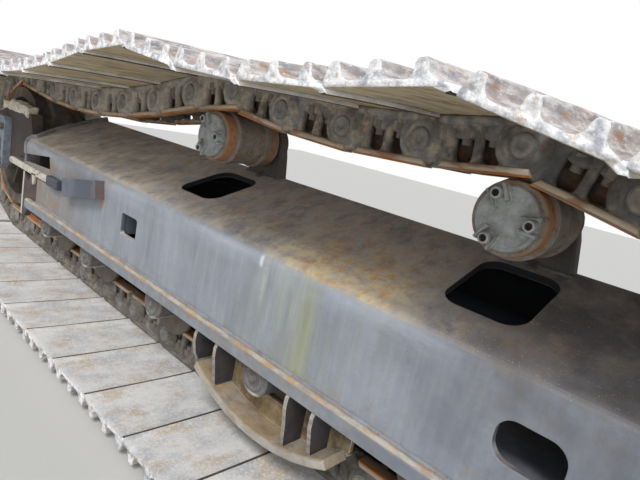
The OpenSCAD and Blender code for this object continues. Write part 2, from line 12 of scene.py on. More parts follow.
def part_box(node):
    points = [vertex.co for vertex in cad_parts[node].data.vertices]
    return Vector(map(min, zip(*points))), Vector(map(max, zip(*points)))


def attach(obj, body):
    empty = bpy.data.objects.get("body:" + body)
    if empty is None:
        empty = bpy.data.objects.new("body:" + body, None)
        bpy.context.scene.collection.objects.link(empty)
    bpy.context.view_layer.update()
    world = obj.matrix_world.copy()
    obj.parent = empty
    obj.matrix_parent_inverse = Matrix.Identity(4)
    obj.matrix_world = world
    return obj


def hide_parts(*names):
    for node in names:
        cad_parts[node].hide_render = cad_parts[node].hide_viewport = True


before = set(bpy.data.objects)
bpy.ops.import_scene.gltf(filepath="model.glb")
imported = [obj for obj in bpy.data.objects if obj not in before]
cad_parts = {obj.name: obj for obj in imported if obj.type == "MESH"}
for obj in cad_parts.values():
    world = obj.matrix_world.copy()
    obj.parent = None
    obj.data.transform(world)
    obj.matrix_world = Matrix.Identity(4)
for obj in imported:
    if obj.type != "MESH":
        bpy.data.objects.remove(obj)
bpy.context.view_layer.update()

# The path of the track.
# Forty-nine forged links close round the idler and the sprocket. The chain lies flat
# below, hangs in three shallow bows above, and stands on two carrier rollers.
PITCH, LINKS = 190.0, 49
# Two turns of the sprocket pass 21 bushings
GAPS = 21
SHOE_IN, SHOE_T, GROUSER_H, RAIL_N = 45.0, 10.0, 25.0, 50.0
CARRIERS = (443.0, -380.0)
CARRIER_Z, CARRIER_R = 685.0, 64.0
CREST_RISES = (19.4, 5.9)
IDLER_LIFT, SPROCKET_LIFT = 4, 20
ROLLER_MID, ROLLER_REACH = 30, 1210
PIN_START, FORWARD = 138.0, 24.0
SAGS = (82.0, 34.0, 84.0)
SAG_STEPS, WRAP_STEPS = 12, 36
turn_per_link = math.radians(720 / GAPS)
pin_r = PITCH / 2 / math.sin(turn_per_link / 2)
low_pin_z = SHOE_IN + SHOE_T + GROUSER_H
idler_z, sprocket_z = low_pin_z + pin_r + IDLER_LIFT, low_pin_z + pin_r + SPROCKET_LIFT
crests = [CARRIER_Z + CARRIER_R + RAIL_N + rise for rise in CREST_RISES]
flat_front = ROLLER_MID + ROLLER_REACH + PITCH
flat_rear = ROLLER_MID - ROLLER_REACH - PITCH


def span_extra(width, height, sag):
    return math.hypot(width, height) - width + 8 * sag * sag / 3 / width


free_length = (LINKS - GAPS / 2) * PITCH
guess = free_length / 4
extra = (span_extra(guess + FORWARD - CARRIERS[0], crests[0] - idler_z - pin_r, SAGS[0])
         + span_extra(CARRIERS[0] - CARRIERS[1], crests[0] - crests[1], SAGS[1])
         + span_extra(guess - FORWARD + CARRIERS[1], crests[1] - sprocket_z - pin_r, SAGS[2])
         + span_extra(guess - FORWARD + flat_rear, SPROCKET_LIFT, 0))
half_base = (free_length - extra) / 4
idler_x, sprocket_x = FORWARD + half_base, FORWARD - half_base


def sagged(x0, z0, x1, z1, sag):
    return [(x0 + (x1 - x0) * t, z0 + (z1 - z0) * t - 4 * sag * t * (1 - t))
            for t in (i / SAG_STEPS for i in range(1, SAG_STEPS + 1))]


def circle(x, z, radius, count=32, start=0.0, sweep=360.0):
    steps = count if sweep == 360 else count + 1
    return [(x + radius * math.cos(math.radians(start + sweep * k / count)),
             z + radius * math.sin(math.radians(start + sweep * k / count))) for k in range(steps)]


pin_line = ([(0, low_pin_z), (flat_front, low_pin_z)]
            + circle(idler_x, idler_z, pin_r, WRAP_STEPS, -90, 180)
            + sagged(idler_x, idler_z + pin_r, CARRIERS[0], crests[0], SAGS[0])
            + sagged(CARRIERS[0], crests[0], CARRIERS[1], crests[1], SAGS[1])
            + sagged(CARRIERS[1], crests[1], sprocket_x, sprocket_z + pin_r, SAGS[2])
            + circle(sprocket_x, sprocket_z, pin_r, WRAP_STEPS, 90, 180)[1:]
            + [(flat_rear, low_pin_z), (0, low_pin_z)])
arc_per_link = 2 * pin_r * math.sin(math.pi / 2 / WRAP_STEPS) * WRAP_STEPS * turn_per_link / math.pi
run = [0.0]
for a, b in zip(pin_line, pin_line[1:]):
    on_wheel = max(a[0], b[0]) > idler_x + 0.001 or min(a[0], b[0]) < sprocket_x - 0.001
    run.append(run[-1] + math.dist(a, b) / (arc_per_link if on_wheel else PITCH))
places = (np.arange(LINKS) + PIN_START / PITCH) % LINKS * run[-1] / LINKS
pins = np.column_stack([np.interp(places, run, [p[k] for p in pin_line]) for k in (0, 1)])
alongs = np.roll(pins, -1, 0) - pins
alongs /= np.linalg.norm(alongs, axis=1)[:, None]
axle_lo, axle_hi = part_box("idler_axle")
shift = Vector(((axle_lo.x + axle_hi.x) * 500 - idler_x, 0, (axle_lo.z + axle_hi.z) * 500 - idler_z))


def metres(points):
    return (np.asarray(points, float).reshape(-1, 3) + np.array(shift)) / 1000


# Camera.
# The photograph was taken from outboard and behind, a little above the carrier rollers.
CAMERA_PLACE = (-705.7, 923.6, 771.1)
camera_data = bpy.data.cameras.new("camera")
camera_data.sensor_width, camera_data.lens = 36, 29.13
camera = bpy.data.objects.new("camera", camera_data)
right = Vector((-0.71580, -0.66830, 0.20250))
down = Vector((-0.29371, 0.02503, -0.95557))
ahead = Vector((0.63354, -0.74347, -0.21420))
camera.matrix_world = (Matrix.Translation(Vector(metres(CAMERA_PLACE)[0]))
                       @ Matrix((right, -down, -ahead)).transposed().to_4x4())
bpy.context.scene.collection.objects.link(camera)
bpy.context.scene.camera = camera
bpy.context.scene.view_settings.view_transform = "Standard"


# Floor, backdrop and lamps.
# A plain pale studio floor, a white backdrop that only the camera, gloss and glass see,
# and soft light from high outboard.
def linear(colour):
    parts = [int(colour[k:k + 2], 16) / 255 for k in (1, 3, 5)]
    return [c / 12.92 if c <= 0.04045 else ((c + 0.055) / 1.055) ** 2.4 for c in parts] + [1]


def add(tree, kind, inputs=(), **settings):
    """A shader node. An input is a value, a socket, or a node whose first output it takes."""
    node = tree.nodes.new("ShaderNode" + kind)
    for key, value in settings.items():
        setattr(node, key, value)
    for socket, value in dict(inputs).items():
        value = value.outputs[0] if isinstance(value, bpy.types.Node) else value
        if isinstance(value, bpy.types.NodeSocket):
            tree.links.new(value, node.inputs[socket])
        else:
            node.inputs[socket].default_value = value
    return node


# The floor reaches this many metres each way
far = 9
floor_mesh = bpy.data.meshes.new("floor")
floor_mesh.from_pydata([(-far, -far, 0), (far, -far, 0), (far, far, 0), (-far, far, 0)], [], [(0, 1, 2, 3)])
floor = bpy.data.objects.new("floor", floor_mesh)
bpy.context.scene.collection.objects.link(floor)
# Smooth concrete, painted matt: an even pale grey
concrete = bpy.data.materials.new("pale_floor")
concrete.use_nodes = True
concrete_shader = concrete.node_tree.nodes["Principled BSDF"]
concrete_shader.inputs["Base Color"].default_value = linear("#c9c8c4")
concrete_shader.inputs["Roughness"].default_value = 0.9
floor_mesh.materials.append(concrete)

world = bpy.data.worlds.new("studio")
world.use_nodes = True
bpy.context.scene.world = world
sky = world.node_tree
sky.nodes.clear()
ray = add(sky, "LightPath").outputs
seen = add(sky, "Math", {0: ray["Is Camera Ray"], 1: ray["Is Glossy Ray"]}, operation="MAXIMUM")
seen = add(sky, "Math", {0: seen, 1: ray["Is Transmission Ray"]}, operation="MAXIMUM")
soft_sky = add(sky, "Background", {"Color": linear("#eef2fa"), "Strength": 0.5})
white = add(sky, "Background", {"Color": (1, 1, 1, 1), "Strength": 1.0})
either = add(sky, "MixShader", {0: seen, 1: soft_sky, 2: white})
add(sky, "OutputWorld", {"Surface": either})
# Each lamp: name, direction it shines from, strength, and spread in degrees
for name, towards, strength, spread in (("key", (-0.25, 0.75, 1.05), 1.95, 24),
                                        ("fill", (-0.9, 0.6, 0.35), 1.1, 60)):
    lamp = bpy.data.lights.new(name, "SUN")
    lamp.energy, lamp.angle = strength, math.radians(spread)
    lamp_object = bpy.data.objects.new(name, lamp)
    lamp_object.rotation_euler = Vector(towards).to_track_quat("Z", "Y").to_euler()
    bpy.context.scene.collection.objects.link(lamp_object)


# Pressed side frame.
# Heavy plate, pressed into a box with a sloping top and welded to a thick bottom flange.
# Sprayed machine enamel, long faded: dust lies on the slope and rust shows at the edges.
def finish(name, colour, roughness, deposits, metallic=0.0, grain=(3, 0.4), tone=(0.75, 1.25, 45),
           worn=None):
    """A coat with deposits over it; grain is (size, depth) and tone (darkest, lightest, size), in mm.
    worn=(colour, radius in mm, strength) rounds the arrises in the light and rubs them to that colour.

    A deposit is (colour, roughness, size, share, softness, strength), and may end in a dict:
    up=(low, high) keeps it to faces that look up, or down where low is above high,
    stretch draws its patches out along an axis, rag makes their edges more ragged,
    and x, y, z=(from, full, full, to) keep it to a band of the part.
    """
    material = bpy.data.materials.new(name)
    material.use_nodes = True
    tree = material.node_tree
    shader = tree.nodes["Principled BSDF"]
    place = add(tree, "TexCoord").outputs["Object"]
    geometry = add(tree, "NewGeometry")
    facing = add(tree, "SeparateXYZ", {0: geometry.outputs["Normal"]})
    axes = add(tree, "SeparateXYZ", {0: place})
    mottle = add(tree, "TexNoise", {"Vector": place, "Scale": 1000 / tone[2], "Detail": 5.0,
                                    "Roughness": 0.65})
    shade = add(tree, "MapRange", {0: mottle, 1: 0.3, 2: 0.7, 3: tone[0], 4: tone[1]})
    coat = add(tree, "Mix", {0: 1.0, 6: linear(colour), 7: shade}, data_type="RGBA",
               blend_type="MULTIPLY").outputs[2]
    rough = roughness
    for number, (tint, grit, size, share, softness, strength, *kept) in enumerate(deposits):
        keys = kept[0] if kept else {}
        shrink = tuple(1 / s for s in keys.get("stretch", (1, 1, 1)))
        apart = (number * 3.7, number * 1.9, number * 2.3)
        spot = add(tree, "Mapping", {"Vector": place, "Location": apart, "Scale": shrink})
        rag = keys.get("rag", 0.62)
        patch = add(tree, "TexNoise", {"Vector": spot, "Scale": 1000 / size, "Detail": 6.0,
                                       "Roughness": rag})
        edge = 0.5 + (0.5 - share) * 0.5
        mask = add(tree, "MapRange", {0: patch, 1: edge - softness / 4, 2: edge + softness / 4, 3: 0.0,
                                      4: strength})
        if "up" in keys:
            level = add(tree, "MapRange", {0: facing.outputs["Z"], 1: keys["up"][0], 2: keys["up"][1]})
            mask = add(tree, "Math", {0: mask, 1: level}, operation="MULTIPLY")
        for axis in "xyz":
            if axis in keys:
                a, b, c, d = ((v + shift["xyz".index(axis)]) / 1000 for v in keys[axis])
                rise = add(tree, "MapRange", {0: axes.outputs[axis.upper()], 1: a, 2: b})
                fall = add(tree, "MapRange", {0: axes.outputs[axis.upper()], 1: c, 2: d, 3: 1.0, 4: 0.0})
                band = add(tree, "Math", {0: rise, 1: fall}, operation="MULTIPLY")
                mask = add(tree, "Math", {0: mask, 1: band}, operation="MULTIPLY")
        coat = add(tree, "Mix", {0: mask, 6: coat, 7: linear(tint)}, data_type="RGBA").outputs[2]
        rough = add(tree, "Mix", {0: mask, 2: rough, 3: grit})
    if worn:
        arris = add(tree, "Bevel", {"Radius": worn[1] / 1000}, samples=4)
        turn = add(tree, "VectorMath", {0: arris, 1: geometry.outputs["Normal"]}, operation="DOT_PRODUCT")
        rub = add(tree, "MapRange", {0: turn.outputs["Value"], 1: 0.985, 2: 0.86, 3: 0.0, 4: worn[2]})
        ragged = add(tree, "MapRange", {0: mottle, 1: 0.38, 2: 0.56, 3: 0.25, 4: 1.0})
        rub = add(tree, "Math", {0: rub, 1: ragged}, operation="MULTIPLY")
        coat = add(tree, "Mix", {0: rub, 6: coat, 7: linear(worn[0])}, data_type="RGBA").outputs[2]
    fine = add(tree, "TexNoise", {"Vector": place, "Scale": 1000 / grain[0], "Detail": 4.0})
    broad = add(tree, "Math", {0: mottle, 1: 2.0}, operation="MULTIPLY")
    height = add(tree, "Math", {0: fine, 1: broad}, operation="ADD")
    bump = add(tree, "Bump", {"Height": height, "Strength": 1.0, "Distance": grain[1] / 1000})
    if worn:
        tree.links.new(arris.outputs[0], bump.inputs["Normal"])
    tree.links.new(coat, shader.inputs["Base Color"])
    tree.links.new(rough.outputs[0], shader.inputs["Roughness"])
    tree.links.new(bump.outputs[0], shader.inputs["Normal"])
    shader.inputs["Metallic"].default_value = metallic
    return material


def dress(material, *names):
    """Gives CAD nodes whose shape is right their real finish."""
    for name in names:
        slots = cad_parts[name].data.materials
        slots.clear()
        slots.append(material)


# Alkyd enamel, sprayed and long faded: a matt blue-grey film with runs, dust and rust, and painted light
# and shade
frame_enamel_and_light = finish("faded_enamel_and_painted_light", "#9197a1", 0.62, [
    ("#7b818d", 0.6, 70, 0.46, 0.7, 0.55, dict(stretch=(1, 1, 6))),
    ("#aeb0b0", 0.75, 18, 0.38, 0.6, 0.4, dict(stretch=(1, 1, 9))),
    ("#9fa05f", 0.75, 14, 0.6, 0.6, 0.55,
     dict(stretch=(1, 1, 14), x=(-130, -96, -74, -40), z=(200, 230, 440, 520))),
    ("#b6baae", 0.7, 15, 0.5, 0.5, 0.5,
     dict(stretch=(1, 1, 12), x=(-140, -70, 40, 84), z=(320, 400, 480, 496))),
    ("#85866a", 0.75, 34, 0.4, 0.4, 0.35,
     dict(stretch=(1, 1, 9), x=(-330, -260, 60, 160), z=(200, 230, 440, 500))),
    ("#5f6068", 0.75, 120, 0.62, 0.6, 0.6, dict(x=(-1450, -1400, -500, -180), z=(260, 330, 500, 520))),
    ("#857663", 0.85, 90, 0.62, 0.5, 0.65,
     dict(stretch=(1, 1, 2), x=(840, 1100, 1500, 1520), z=(240, 250, 440, 500))),
    ("#9a7448", 0.9, 60, 0.34, 0.3, 0.5, dict(x=(1040, 1200, 1500, 1520), z=(240, 250, 440, 500))),
    ("#a97c4c", 0.9, 40, 0.5, 0.4, 0.7, dict(x=(740, 775, 800, 840), z=(380, 410, 470, 490))),
    ("#b3aeae", 0.9, 160, 0.95, 0.9, 0.95, dict(up=(0.5, 0.92))),
    # Paler on the front part of the slope: painted light
    ("#e0dad3", 0.9, 90, 0.8, 0.6, 0.9, dict(up=(0.6, 0.85), x=(480, 760, 1500, 1530))),
    ("#87858f", 0.92, 60, 0.44, 0.5, 0.7, dict(up=(0.6, 0.85), stretch=(1, 2, 1))),
    ("#6f747c", 0.9, 70, 0.66, 0.6, 0.75,
     dict(up=(0.4, 0.7), x=(50, 110, 380, 480), z=(470, 484, 510, 540))),
    ("#cdbf9f", 0.9, 36, 0.45, 0.5, 0.6, dict(up=(0.5, 0.8), stretch=(1, 2, 1), rag=0.8)),
    ("#c09763", 0.92, 44, 0.3, 0.4, 0.6, dict(up=(0.5, 0.8), stretch=(1, 1.6, 1), rag=0.8)),
    ("#5f5c62", 0.9, 36, 0.34, 0.4, 0.6, dict(up=(0.6, 0.85), stretch=(1, 1.6, 1), rag=0.8)),
    ("#d8c8a3", 0.9, 26, 0.56, 0.45, 0.85,
     dict(up=(0.3, 0.6), x=(-330, -250, 30, 84), z=(466, 484, 510, 540))),
    ("#c29150", 0.95, 24, 0.38, 0.3, 0.7,
     dict(up=(0.3, 0.6), x=(-300, -240, -40, 20), z=(470, 488, 535, 575))),
    ("#b39465", 0.95, 30, 0.46, 0.4, 0.6,
     dict(up=(0.2, 0.7), x=(-540, -490, -440, -390), z=(400, 480, 540, 580))),
    # Darker on the rear part of the slope: painted shade
    ("#52525a", 0.9, 130, 0.75, 0.6, 0.85, dict(up=(0.6, 0.85), x=(-1450, -1400, -480, -200))),
    ("#8b8c92", 0.9, 60, 0.56, 0.6, 0.7,
     dict(up=(0.1, 0.5), x=(-1450, -1400, -440, -380), z=(470, 480, 505, 540))),
    ("#75716d", 0.9, 50, 0.42, 0.5, 0.6, dict(x=(-1450, -1400, -470, -400), z=(380, 470, 500, 520))),
    # A light blue band along the lower edge of the fold: a painted highlight
    ("#bcc4cd", 0.7, 70, 0.46, 0.6, 0.6,
     dict(up=(0.8, 0.3), stretch=(3, 1, 1), x=(-450, -380, 1500, 1530), z=(430, 466, 480, 489))),
    ("#97703f", 0.9, 30, 0.3, 0.25, 0.4, dict(z=(262, 274, 280, 330))),
    # A white spot and a light vertical line where the side has a dent: painted highlights
    ("#eef0ee", 0.7, 30, 0.98, 0.3, 0.7, dict(x=(59, 64, 68, 75), z=(452, 462, 476, 484))),
    ("#c2c5c0", 0.7, 14, 0.6, 0.5, 0.4, dict(x=(38, 47, 52, 62), z=(370, 400, 450, 464))),
    ("#d8d7d0", 0.8, 3.4, 0.17, 0.08, 0.85, dict(up=(0.3, 0.7))),
    ("#d2d0cb", 0.8, 5, 0.08, 0.06, 0.75, dict(x=(-1450, -1400, -360, -100))),
    # Dark on the faces inside the box, less dark level with the side holes: painted shade
    ("#14161b", 0.95, 60, 0.98, 0.3, 0.99, dict(up=(0.4, 0.2), y=(-188, -182, 182, 188))),
    ("#5f6572", 0.95, 60, 0.98, 0.3, 0.99,
     dict(up=(0.4, 0.2), y=(-188, -182, 182, 188), z=(200, 210, 430, 470))),
], grain=(4, 0.7), tone=(0.84, 1.14, 110), worn=("#b6ad98", 4, 0.5))
dress(frame_enamel_and_light, "side_frame", "leg_front", "leg_rear", "spring_seat")

# Hot-rolled flange plate: the same enamel, rubbed to a tan line along its upper corner
flange_enamel_and_shade = finish("flange_enamel_and_shade", "#8b9096", 0.6, [
    ("#777c86", 0.7, 50, 0.45, 0.6, 0.5),
    ("#8a7a64", 0.85, 60, 0.36, 0.5, 0.45),
    ("#bdb3a2", 0.7, 16, 0.6, 0.3, 0.8, dict(z=(266, 269, 276, 280), stretch=(3, 1, 1))),
    ("#b08a60", 0.9, 22, 0.42, 0.25, 0.75, dict(z=(264, 268, 276, 280), stretch=(2, 1, 1))),
    ("#a5764a", 0.9, 30, 0.2, 0.2, 0.7, dict(z=(246, 258, 276, 280), stretch=(2, 1, 1))),
    ("#6f5138", 0.95, 30, 0.2, 0.3, 0.5),
    ("#6b727d", 0.7, 90, 0.8, 0.6, 0.6, dict(x=(-1450, -1400, -360, -120), z=(240, 244, 262, 268))),
    # Dark on the part inside the box: painted shade
    ("#2a2826", 0.95, 60, 0.98, 0.3, 0.9, dict(y=(-174, -170, 170, 174))),
], grain=(3, 0.5), worn=("#a9a79f", 3, 0.35))
dress(flange_enamel_and_shade, "bottom_flange")

# Front rim and weld beads.
# A flat bar is welded round the curved front edge of the sloping top, standing a finger's
# width proud. The long seams are laid by machine, and their even ripples keep grey paint.

# Enamel over rippled weld metal: grey with a light rub on each crest and rust in between, darkened by
# painted shade at the carrier brackets' feet
weld_paint_and_shade = finish("weld_enamel_and_shade", "#868b92", 0.6, [
    ("#8f7a5c", 0.85, 20, 0.4, 0.5, 0.5),
    ("#7a4a26", 0.9, 20, 0.25, 0.2, 0.6),
    ("#4f4b49", 0.9, 40, 0.8, 0.8, 0.75, dict(z=(540, 580, 700, 710))),
], grain=(2, 0.3), worn=("#b3b5b5", 3, 0.4))


def bands(size, count, first=0):
    """The quads that join count rings of size points, which follow one another from first."""
    starts = range(first, first + (count - 1) * size, size)
    return [(a + k, a + (k + 1) % size, a + size + (k + 1) % size, a + size + k) for a in starts
            for k in range(size)]


def swept(path, section, ripple=0.0):
    """A bar along path, a list of (x, y, z); section is a ring of (sideways, upward) offsets."""
    points, size, last = [], len(section), (len(path) - 1) * len(section)
    for k, here in enumerate(path):
        ahead_of = Vector(path[min(k + 1, len(path) - 1)]) - Vector(path[max(k - 1, 0)])
        sideways = ahead_of.cross(Vector((0, 0, 1)))
        sideways = (sideways if sideways.length > 1e-6 else Vector((0, 1, 0))).normalized()
        upward = sideways.cross(ahead_of).normalized()
        swell = 1 + ripple * (k % 2)
        points += [tuple(Vector(here) + (sideways * a + upward * b) * swell) for a, b in section]
    faces = bands(size, len(path)) + [tuple(range(size)), tuple(range(last, last + size))]
    return np.array(points), faces, [0] * len(faces)


def ring_inset(loop, depth):
    count, inner = len(loop), []
    for k in range(count):
        before = Vector(loop[k]) - Vector(loop[k - 1])
        after = Vector(loop[(k + 1) % count]) - Vector(loop[k])
        n1, n2 = (Vector((-v.y, v.x)).normalized() for v in (before, after))
        inner.append(Vector(loop[k]) + (n1 + n2) * depth / max(1 + n1.dot(n2), 0.5))
    return [tuple(p) for p in inner]


def signed_area(loop):
    return sum(a[0] * b[1] - b[0] * a[1] for a, b in zip(loop, loop[1:] + loop[:1])) / 2


def cut_plate(outline, low, high, edge=2.0, holes=(), lay="xzy", marks=(0, 0, 0)):
    """A plate with broken edges, cut to outline in its first two axes of lay, from low to high in
    the third. marks are the material numbers of its faces, its sides and its broken edges."""
    loops = [loop if (signed_area(loop) > 0) == (k == 0) else loop[::-1]
             for k, loop in enumerate([outline, *holes])]
    points, faces, numbers, firsts = [], [], [], []
    for loop in loops:
        firsts.append(len(points))
        inner = ring_inset(loop, edge)
        for ring, level in ((inner, low), (loop, low + edge), (loop, high - edge), (inner, high)):
            points += [(*p, level) for p in ring]
    for first, loop in zip(firsts, loops):
        faces += bands(len(loop), 4, first)
        numbers += [mark for mark in (marks[2], marks[1], marks[2]) for _ in loop]
    lowest = [first + k for first, loop in zip(firsts, loops) for k in range(len(loop))]
    highest = [first + 3 * len(loop) + k for first, loop in zip(firsts, loops) for k in range(len(loop))]
    for tri in tessellate_polygon([[Vector((*points[first + k][:2], 0)) for k in range(len(loop))]
                                   for first, loop in zip(firsts, loops)]):
        faces += [tuple(lowest[k] for k in tri), tuple(highest[k] for k in tri)]
        numbers += [marks[0]] * 2
    order = [lay.index(axis) for axis in "xyz"]
    return np.array(points, float)[:, order], faces, numbers


def piece(name, parts, materials, replaces=(), smooth=38):
    """One joined mesh from parts, each (points in mm, faces, material numbers)."""
    points = metres(np.vstack([part[0] for part in parts]))
    faces, numbers, first = [], [], 0
    for spots, sides, marks in parts:
        faces += [tuple(k + first for k in side) for side in sides]
        numbers += marks
        first += len(spots)
    mesh = bpy.data.meshes.new(name)
    mesh.from_pydata(points.tolist(), [], faces)
    for material in materials:
        mesh.materials.append(material)
    mesh.polygons.foreach_set("material_index", numbers)
    shell = bmesh.new()
    shell.from_mesh(mesh)
    bmesh.ops.recalc_face_normals(shell, faces=shell.faces)
    shell.to_mesh(mesh)
    shell.free()
    mesh.shade_smooth()
    mesh.set_sharp_from_angle(angle=math.radians(smooth))
    made = bpy.data.objects.new(name, mesh)
    bpy.context.scene.collection.objects.link(made)
    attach(made, "root")
    if replaces:
        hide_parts(*replaces)


def straight(start, end):
    count = max(2, int(math.dist(start, end) / RIPPLE))
    return [tuple(Vector(start).lerp(Vector(end), k / count)) for k in range(count + 1)]


def weld(start, end):
    return swept(straight(start, end), bead, 0.12)


# The slope of the top falls outboard to the fold
FOLD_Y, FOLD_Z, SLOPE = 190, 489, 19.4
FRONT_X, REAR_X = idler_x - 322.97, sprocket_x + pin_r + 76
RIM_R, RIM_Y = 306, -37
SEAM_Y, BEAD_R, RIPPLE = 191, 4.5, 9.0
LEG_X, LEG_HALF = 650, 174


def top_height(y):
    return FOLD_Z + (FOLD_Y - y) * math.tan(math.radians(SLOPE))


rim_line = [(FRONT_X - RIM_R + math.sqrt(RIM_R ** 2 - (y - RIM_Y) ** 2) - 7, y, top_height(y))
            for y in range(-132, 159, 10)]
rim_line += [(FRONT_X - 56, 166, 495), (FRONT_X - 53, 174, 488), (FRONT_X - 53, 182, 478)]
rim = swept(rim_line, [(-6, -6), (-6, 12), (-4, 14), (4, 14), (6, 12), (6, -6)])
rim_foot = cut_plate([(FRONT_X - 62, 434), (FRONT_X - 48, 434), (FRONT_X - 46, 478), (FRONT_X - 60, 486)],
                     178, 196, 3)
bead = circle(0, 0, BEAD_R, 8)
welds = [weld((REAR_X + 6, side * SEAM_Y, 275), (FRONT_X - 196, side * SEAM_Y, 275)) for side in (1, -1)]
for x in CARRIERS:
    foot_z = top_height(-106) - 1
    welds.append(weld((x - 74, -104, foot_z), (x + 74, -104, foot_z)))
for leg_x in (-LEG_X, LEG_X):
    welds += [weld((leg_x + dx, -SEAM_Y, 280), (leg_x + dx, -SEAM_Y, 515)) for dx in (-LEG_HALF, LEG_HALF)]
piece("front_rim", [rim, rim_foot], [weld_paint_and_shade])
piece("weld_beads", welds, [weld_paint_and_shade])

# Floor of the box.
# A plate closes the pressed box just above the rollers. It was never painted after assembly:
# grey primer above with a bloom of dust, and darker on its underside.
box_primer = finish("grey_box_primer", "#a8afbc", 0.8, [
    ("#c3c8d2", 0.9, 90, 0.45, 0.6, 0.6),
    ("#4a4641", 0.95, 60, 0.95, 0.4, 0.9, dict(up=(0.2, -0.4))),
], grain=(3, 0.5))
FLOOR_FRONT, FLOOR_SIDE = 1300, 174


def box(a0, a1, b0, b1, *low_high_edge, **how):
    return cut_plate([(a0, b0), (a1, b0), (a1, b1), (a0, b1)], *low_high_edge, **how)


box_floor = box(REAR_X + 8, FLOOR_FRONT, -FLOOR_SIDE, FLOOR_SIDE, 305, 311, 1.0, lay="xyz")
piece("box_floor", [box_floor], [box_primer])

# Track links.
# Forged boron steel, as thick as a hand, with two windows for the shoe bolts' nuts, a pin
# boss on the outer end and a rail that the rollers polish. Dry brown dust covers the rest.

# Forging scale under dust: a rough grey-brown skin, lighter towards the front, rubbed at arrises
link_steel = finish("forged_link_steel", "#75716b", 0.85, [
    ("#848b90", 0.85, 60, 0.46, 0.4, 0.75),
    ("#bdb6ab", 0.95, 90, 0.85, 0.6, 0.6, dict(x=(100, 500, 1900, 2000))),
    ("#8f8f8d", 0.85, 60, 0.7, 0.6, 0.55, dict(y=(88, 92, 102, 104))),
    ("#70684c", 0.9, 50, 0.38, 0.3, 0.6),
    ("#b9ad97", 0.95, 20, 0.42, 0.3, 0.75),
    ("#4b4744", 0.9, 26, 0.34, 0.4, 0.6),
    ("#a39b8d", 0.95, 30, 0.6, 0.6, 0.55, dict(up=(0.3, 0.95))),
    ("#a0551f", 0.9, 20, 0.15, 0.12, 0.8),
    ("#3c3936", 0.95, 60, 0.95, 0.4, 0.7, dict(y=(-64, -63, 63, 66))),
    ("#3a3634", 0.95, 50, 0.7, 0.5, 0.65, dict(z=(-60, -50, 150, 200))),
    ("#434245", 0.95, 90, 0.75, 0.6, 0.65, dict(x=(-2300, -2250, -420, -150))),
], grain=(4, 1.3), tone=(0.7, 1.2, 30), worn=("#8f8b83", 4, 0.5))
# The rail's running face, burnished by the rollers: tan metal with a rusty lower arris
rail_steel = finish("burnished_rail", "#b5a794", 0.5, [
    ("#cbbfac", 0.42, 30, 0.5, 0.6, 0.7, dict(stretch=(6, 1, 1))),
    ("#8f5a33", 0.8, 26, 0.34, 0.2, 0.7, dict(stretch=(3, 1, 1))),
], metallic=0.2, grain=(2, 0.3), worn=("#ab6226", 4, 0.9))
# Hardened pin ends: turned steel under the same grey dust, with a rubbed rim
pin_steel = finish("turned_pin_steel", "#7d7b76", 0.75, [
    ("#67686a", 0.8, 16, 0.4, 0.4, 0.6),
    ("#a59a86", 0.9, 12, 0.36, 0.3, 0.6),
], grain=(2, 0.6), worn=("#b0aea6", 3, 0.6))
# Rust along the rail's lower arris, where rollers squeeze the water off
arris_rust = finish("rusty_rail_arris", "#a8672f", 0.85, [
    ("#d19a5c", 0.85, 22, 0.4, 0.3, 0.7, dict(stretch=(3, 1, 1))),
    ("#8d8170", 0.8, 40, 0.42, 0.3, 0.85, dict(stretch=(3, 1, 1))),
], grain=(2, 0.3))
LINK_BODY, RAIL, PIN, ARRIS = range(4)

# From and to along the link, counted from its first pin
WINDOWS = ((66, 101), (117, 153))


def window(t0, t1):
    """One window of a link plate: an arch over the nut, and a round foot towards the rail."""
    middle, half = (t0 + t1) / 2, (t1 - t0) / 2
    foot = [(middle + half * x, -24 + 15 * z) for x, z in circle(0, 0, 1, 8, 180, 180)]
    return [(t0 + 3, 26), (t0, 10)] + foot + [(t1, 10), (t1 - 3, 26)]


def turned(profile, centre=(0, 0, 0), axis="y", segments=48, marks=None):
    """A turned body: profile is (radius, place along the axis), centre is any point of the axis."""
    points, faces, numbers, rings = [], [], [], []
    for radius, level in profile:
        if radius < 0.01:
            rings.append([len(points)] * segments)
            points.append((0, 0, level))
        else:
            rings.append([len(points) + k for k in range(segments)])
            points += [(a, b, level) for a, b in circle(0, 0, radius, segments)]
    for step, (low, high) in enumerate(zip(rings, rings[1:])):
        for k in range(segments):
            after = (k + 1) % segments
            corners = tuple(dict.fromkeys([low[k], low[after], high[after], high[k]]))
            if len(corners) > 2:
                faces.append(corners)
                numbers.append(marks[step] if marks else 0)
    order = {"y": (0, 2, 1), "z": (0, 1, 2)}[axis]
    return np.array(points, float)[:, order] + np.array(centre, float), faces, numbers


def on_link(part, number, side=1):
    """Moves a part from a link's own axes (t along, y across, n outward) to that link."""
    (dx, dz), (px, pz) = alongs[number], pins[number]
    t, y, n = part[0].T
    return np.column_stack([px + dx * t + dz * n, y * side, pz + dz * t - dx * n]), part[1], part[2]


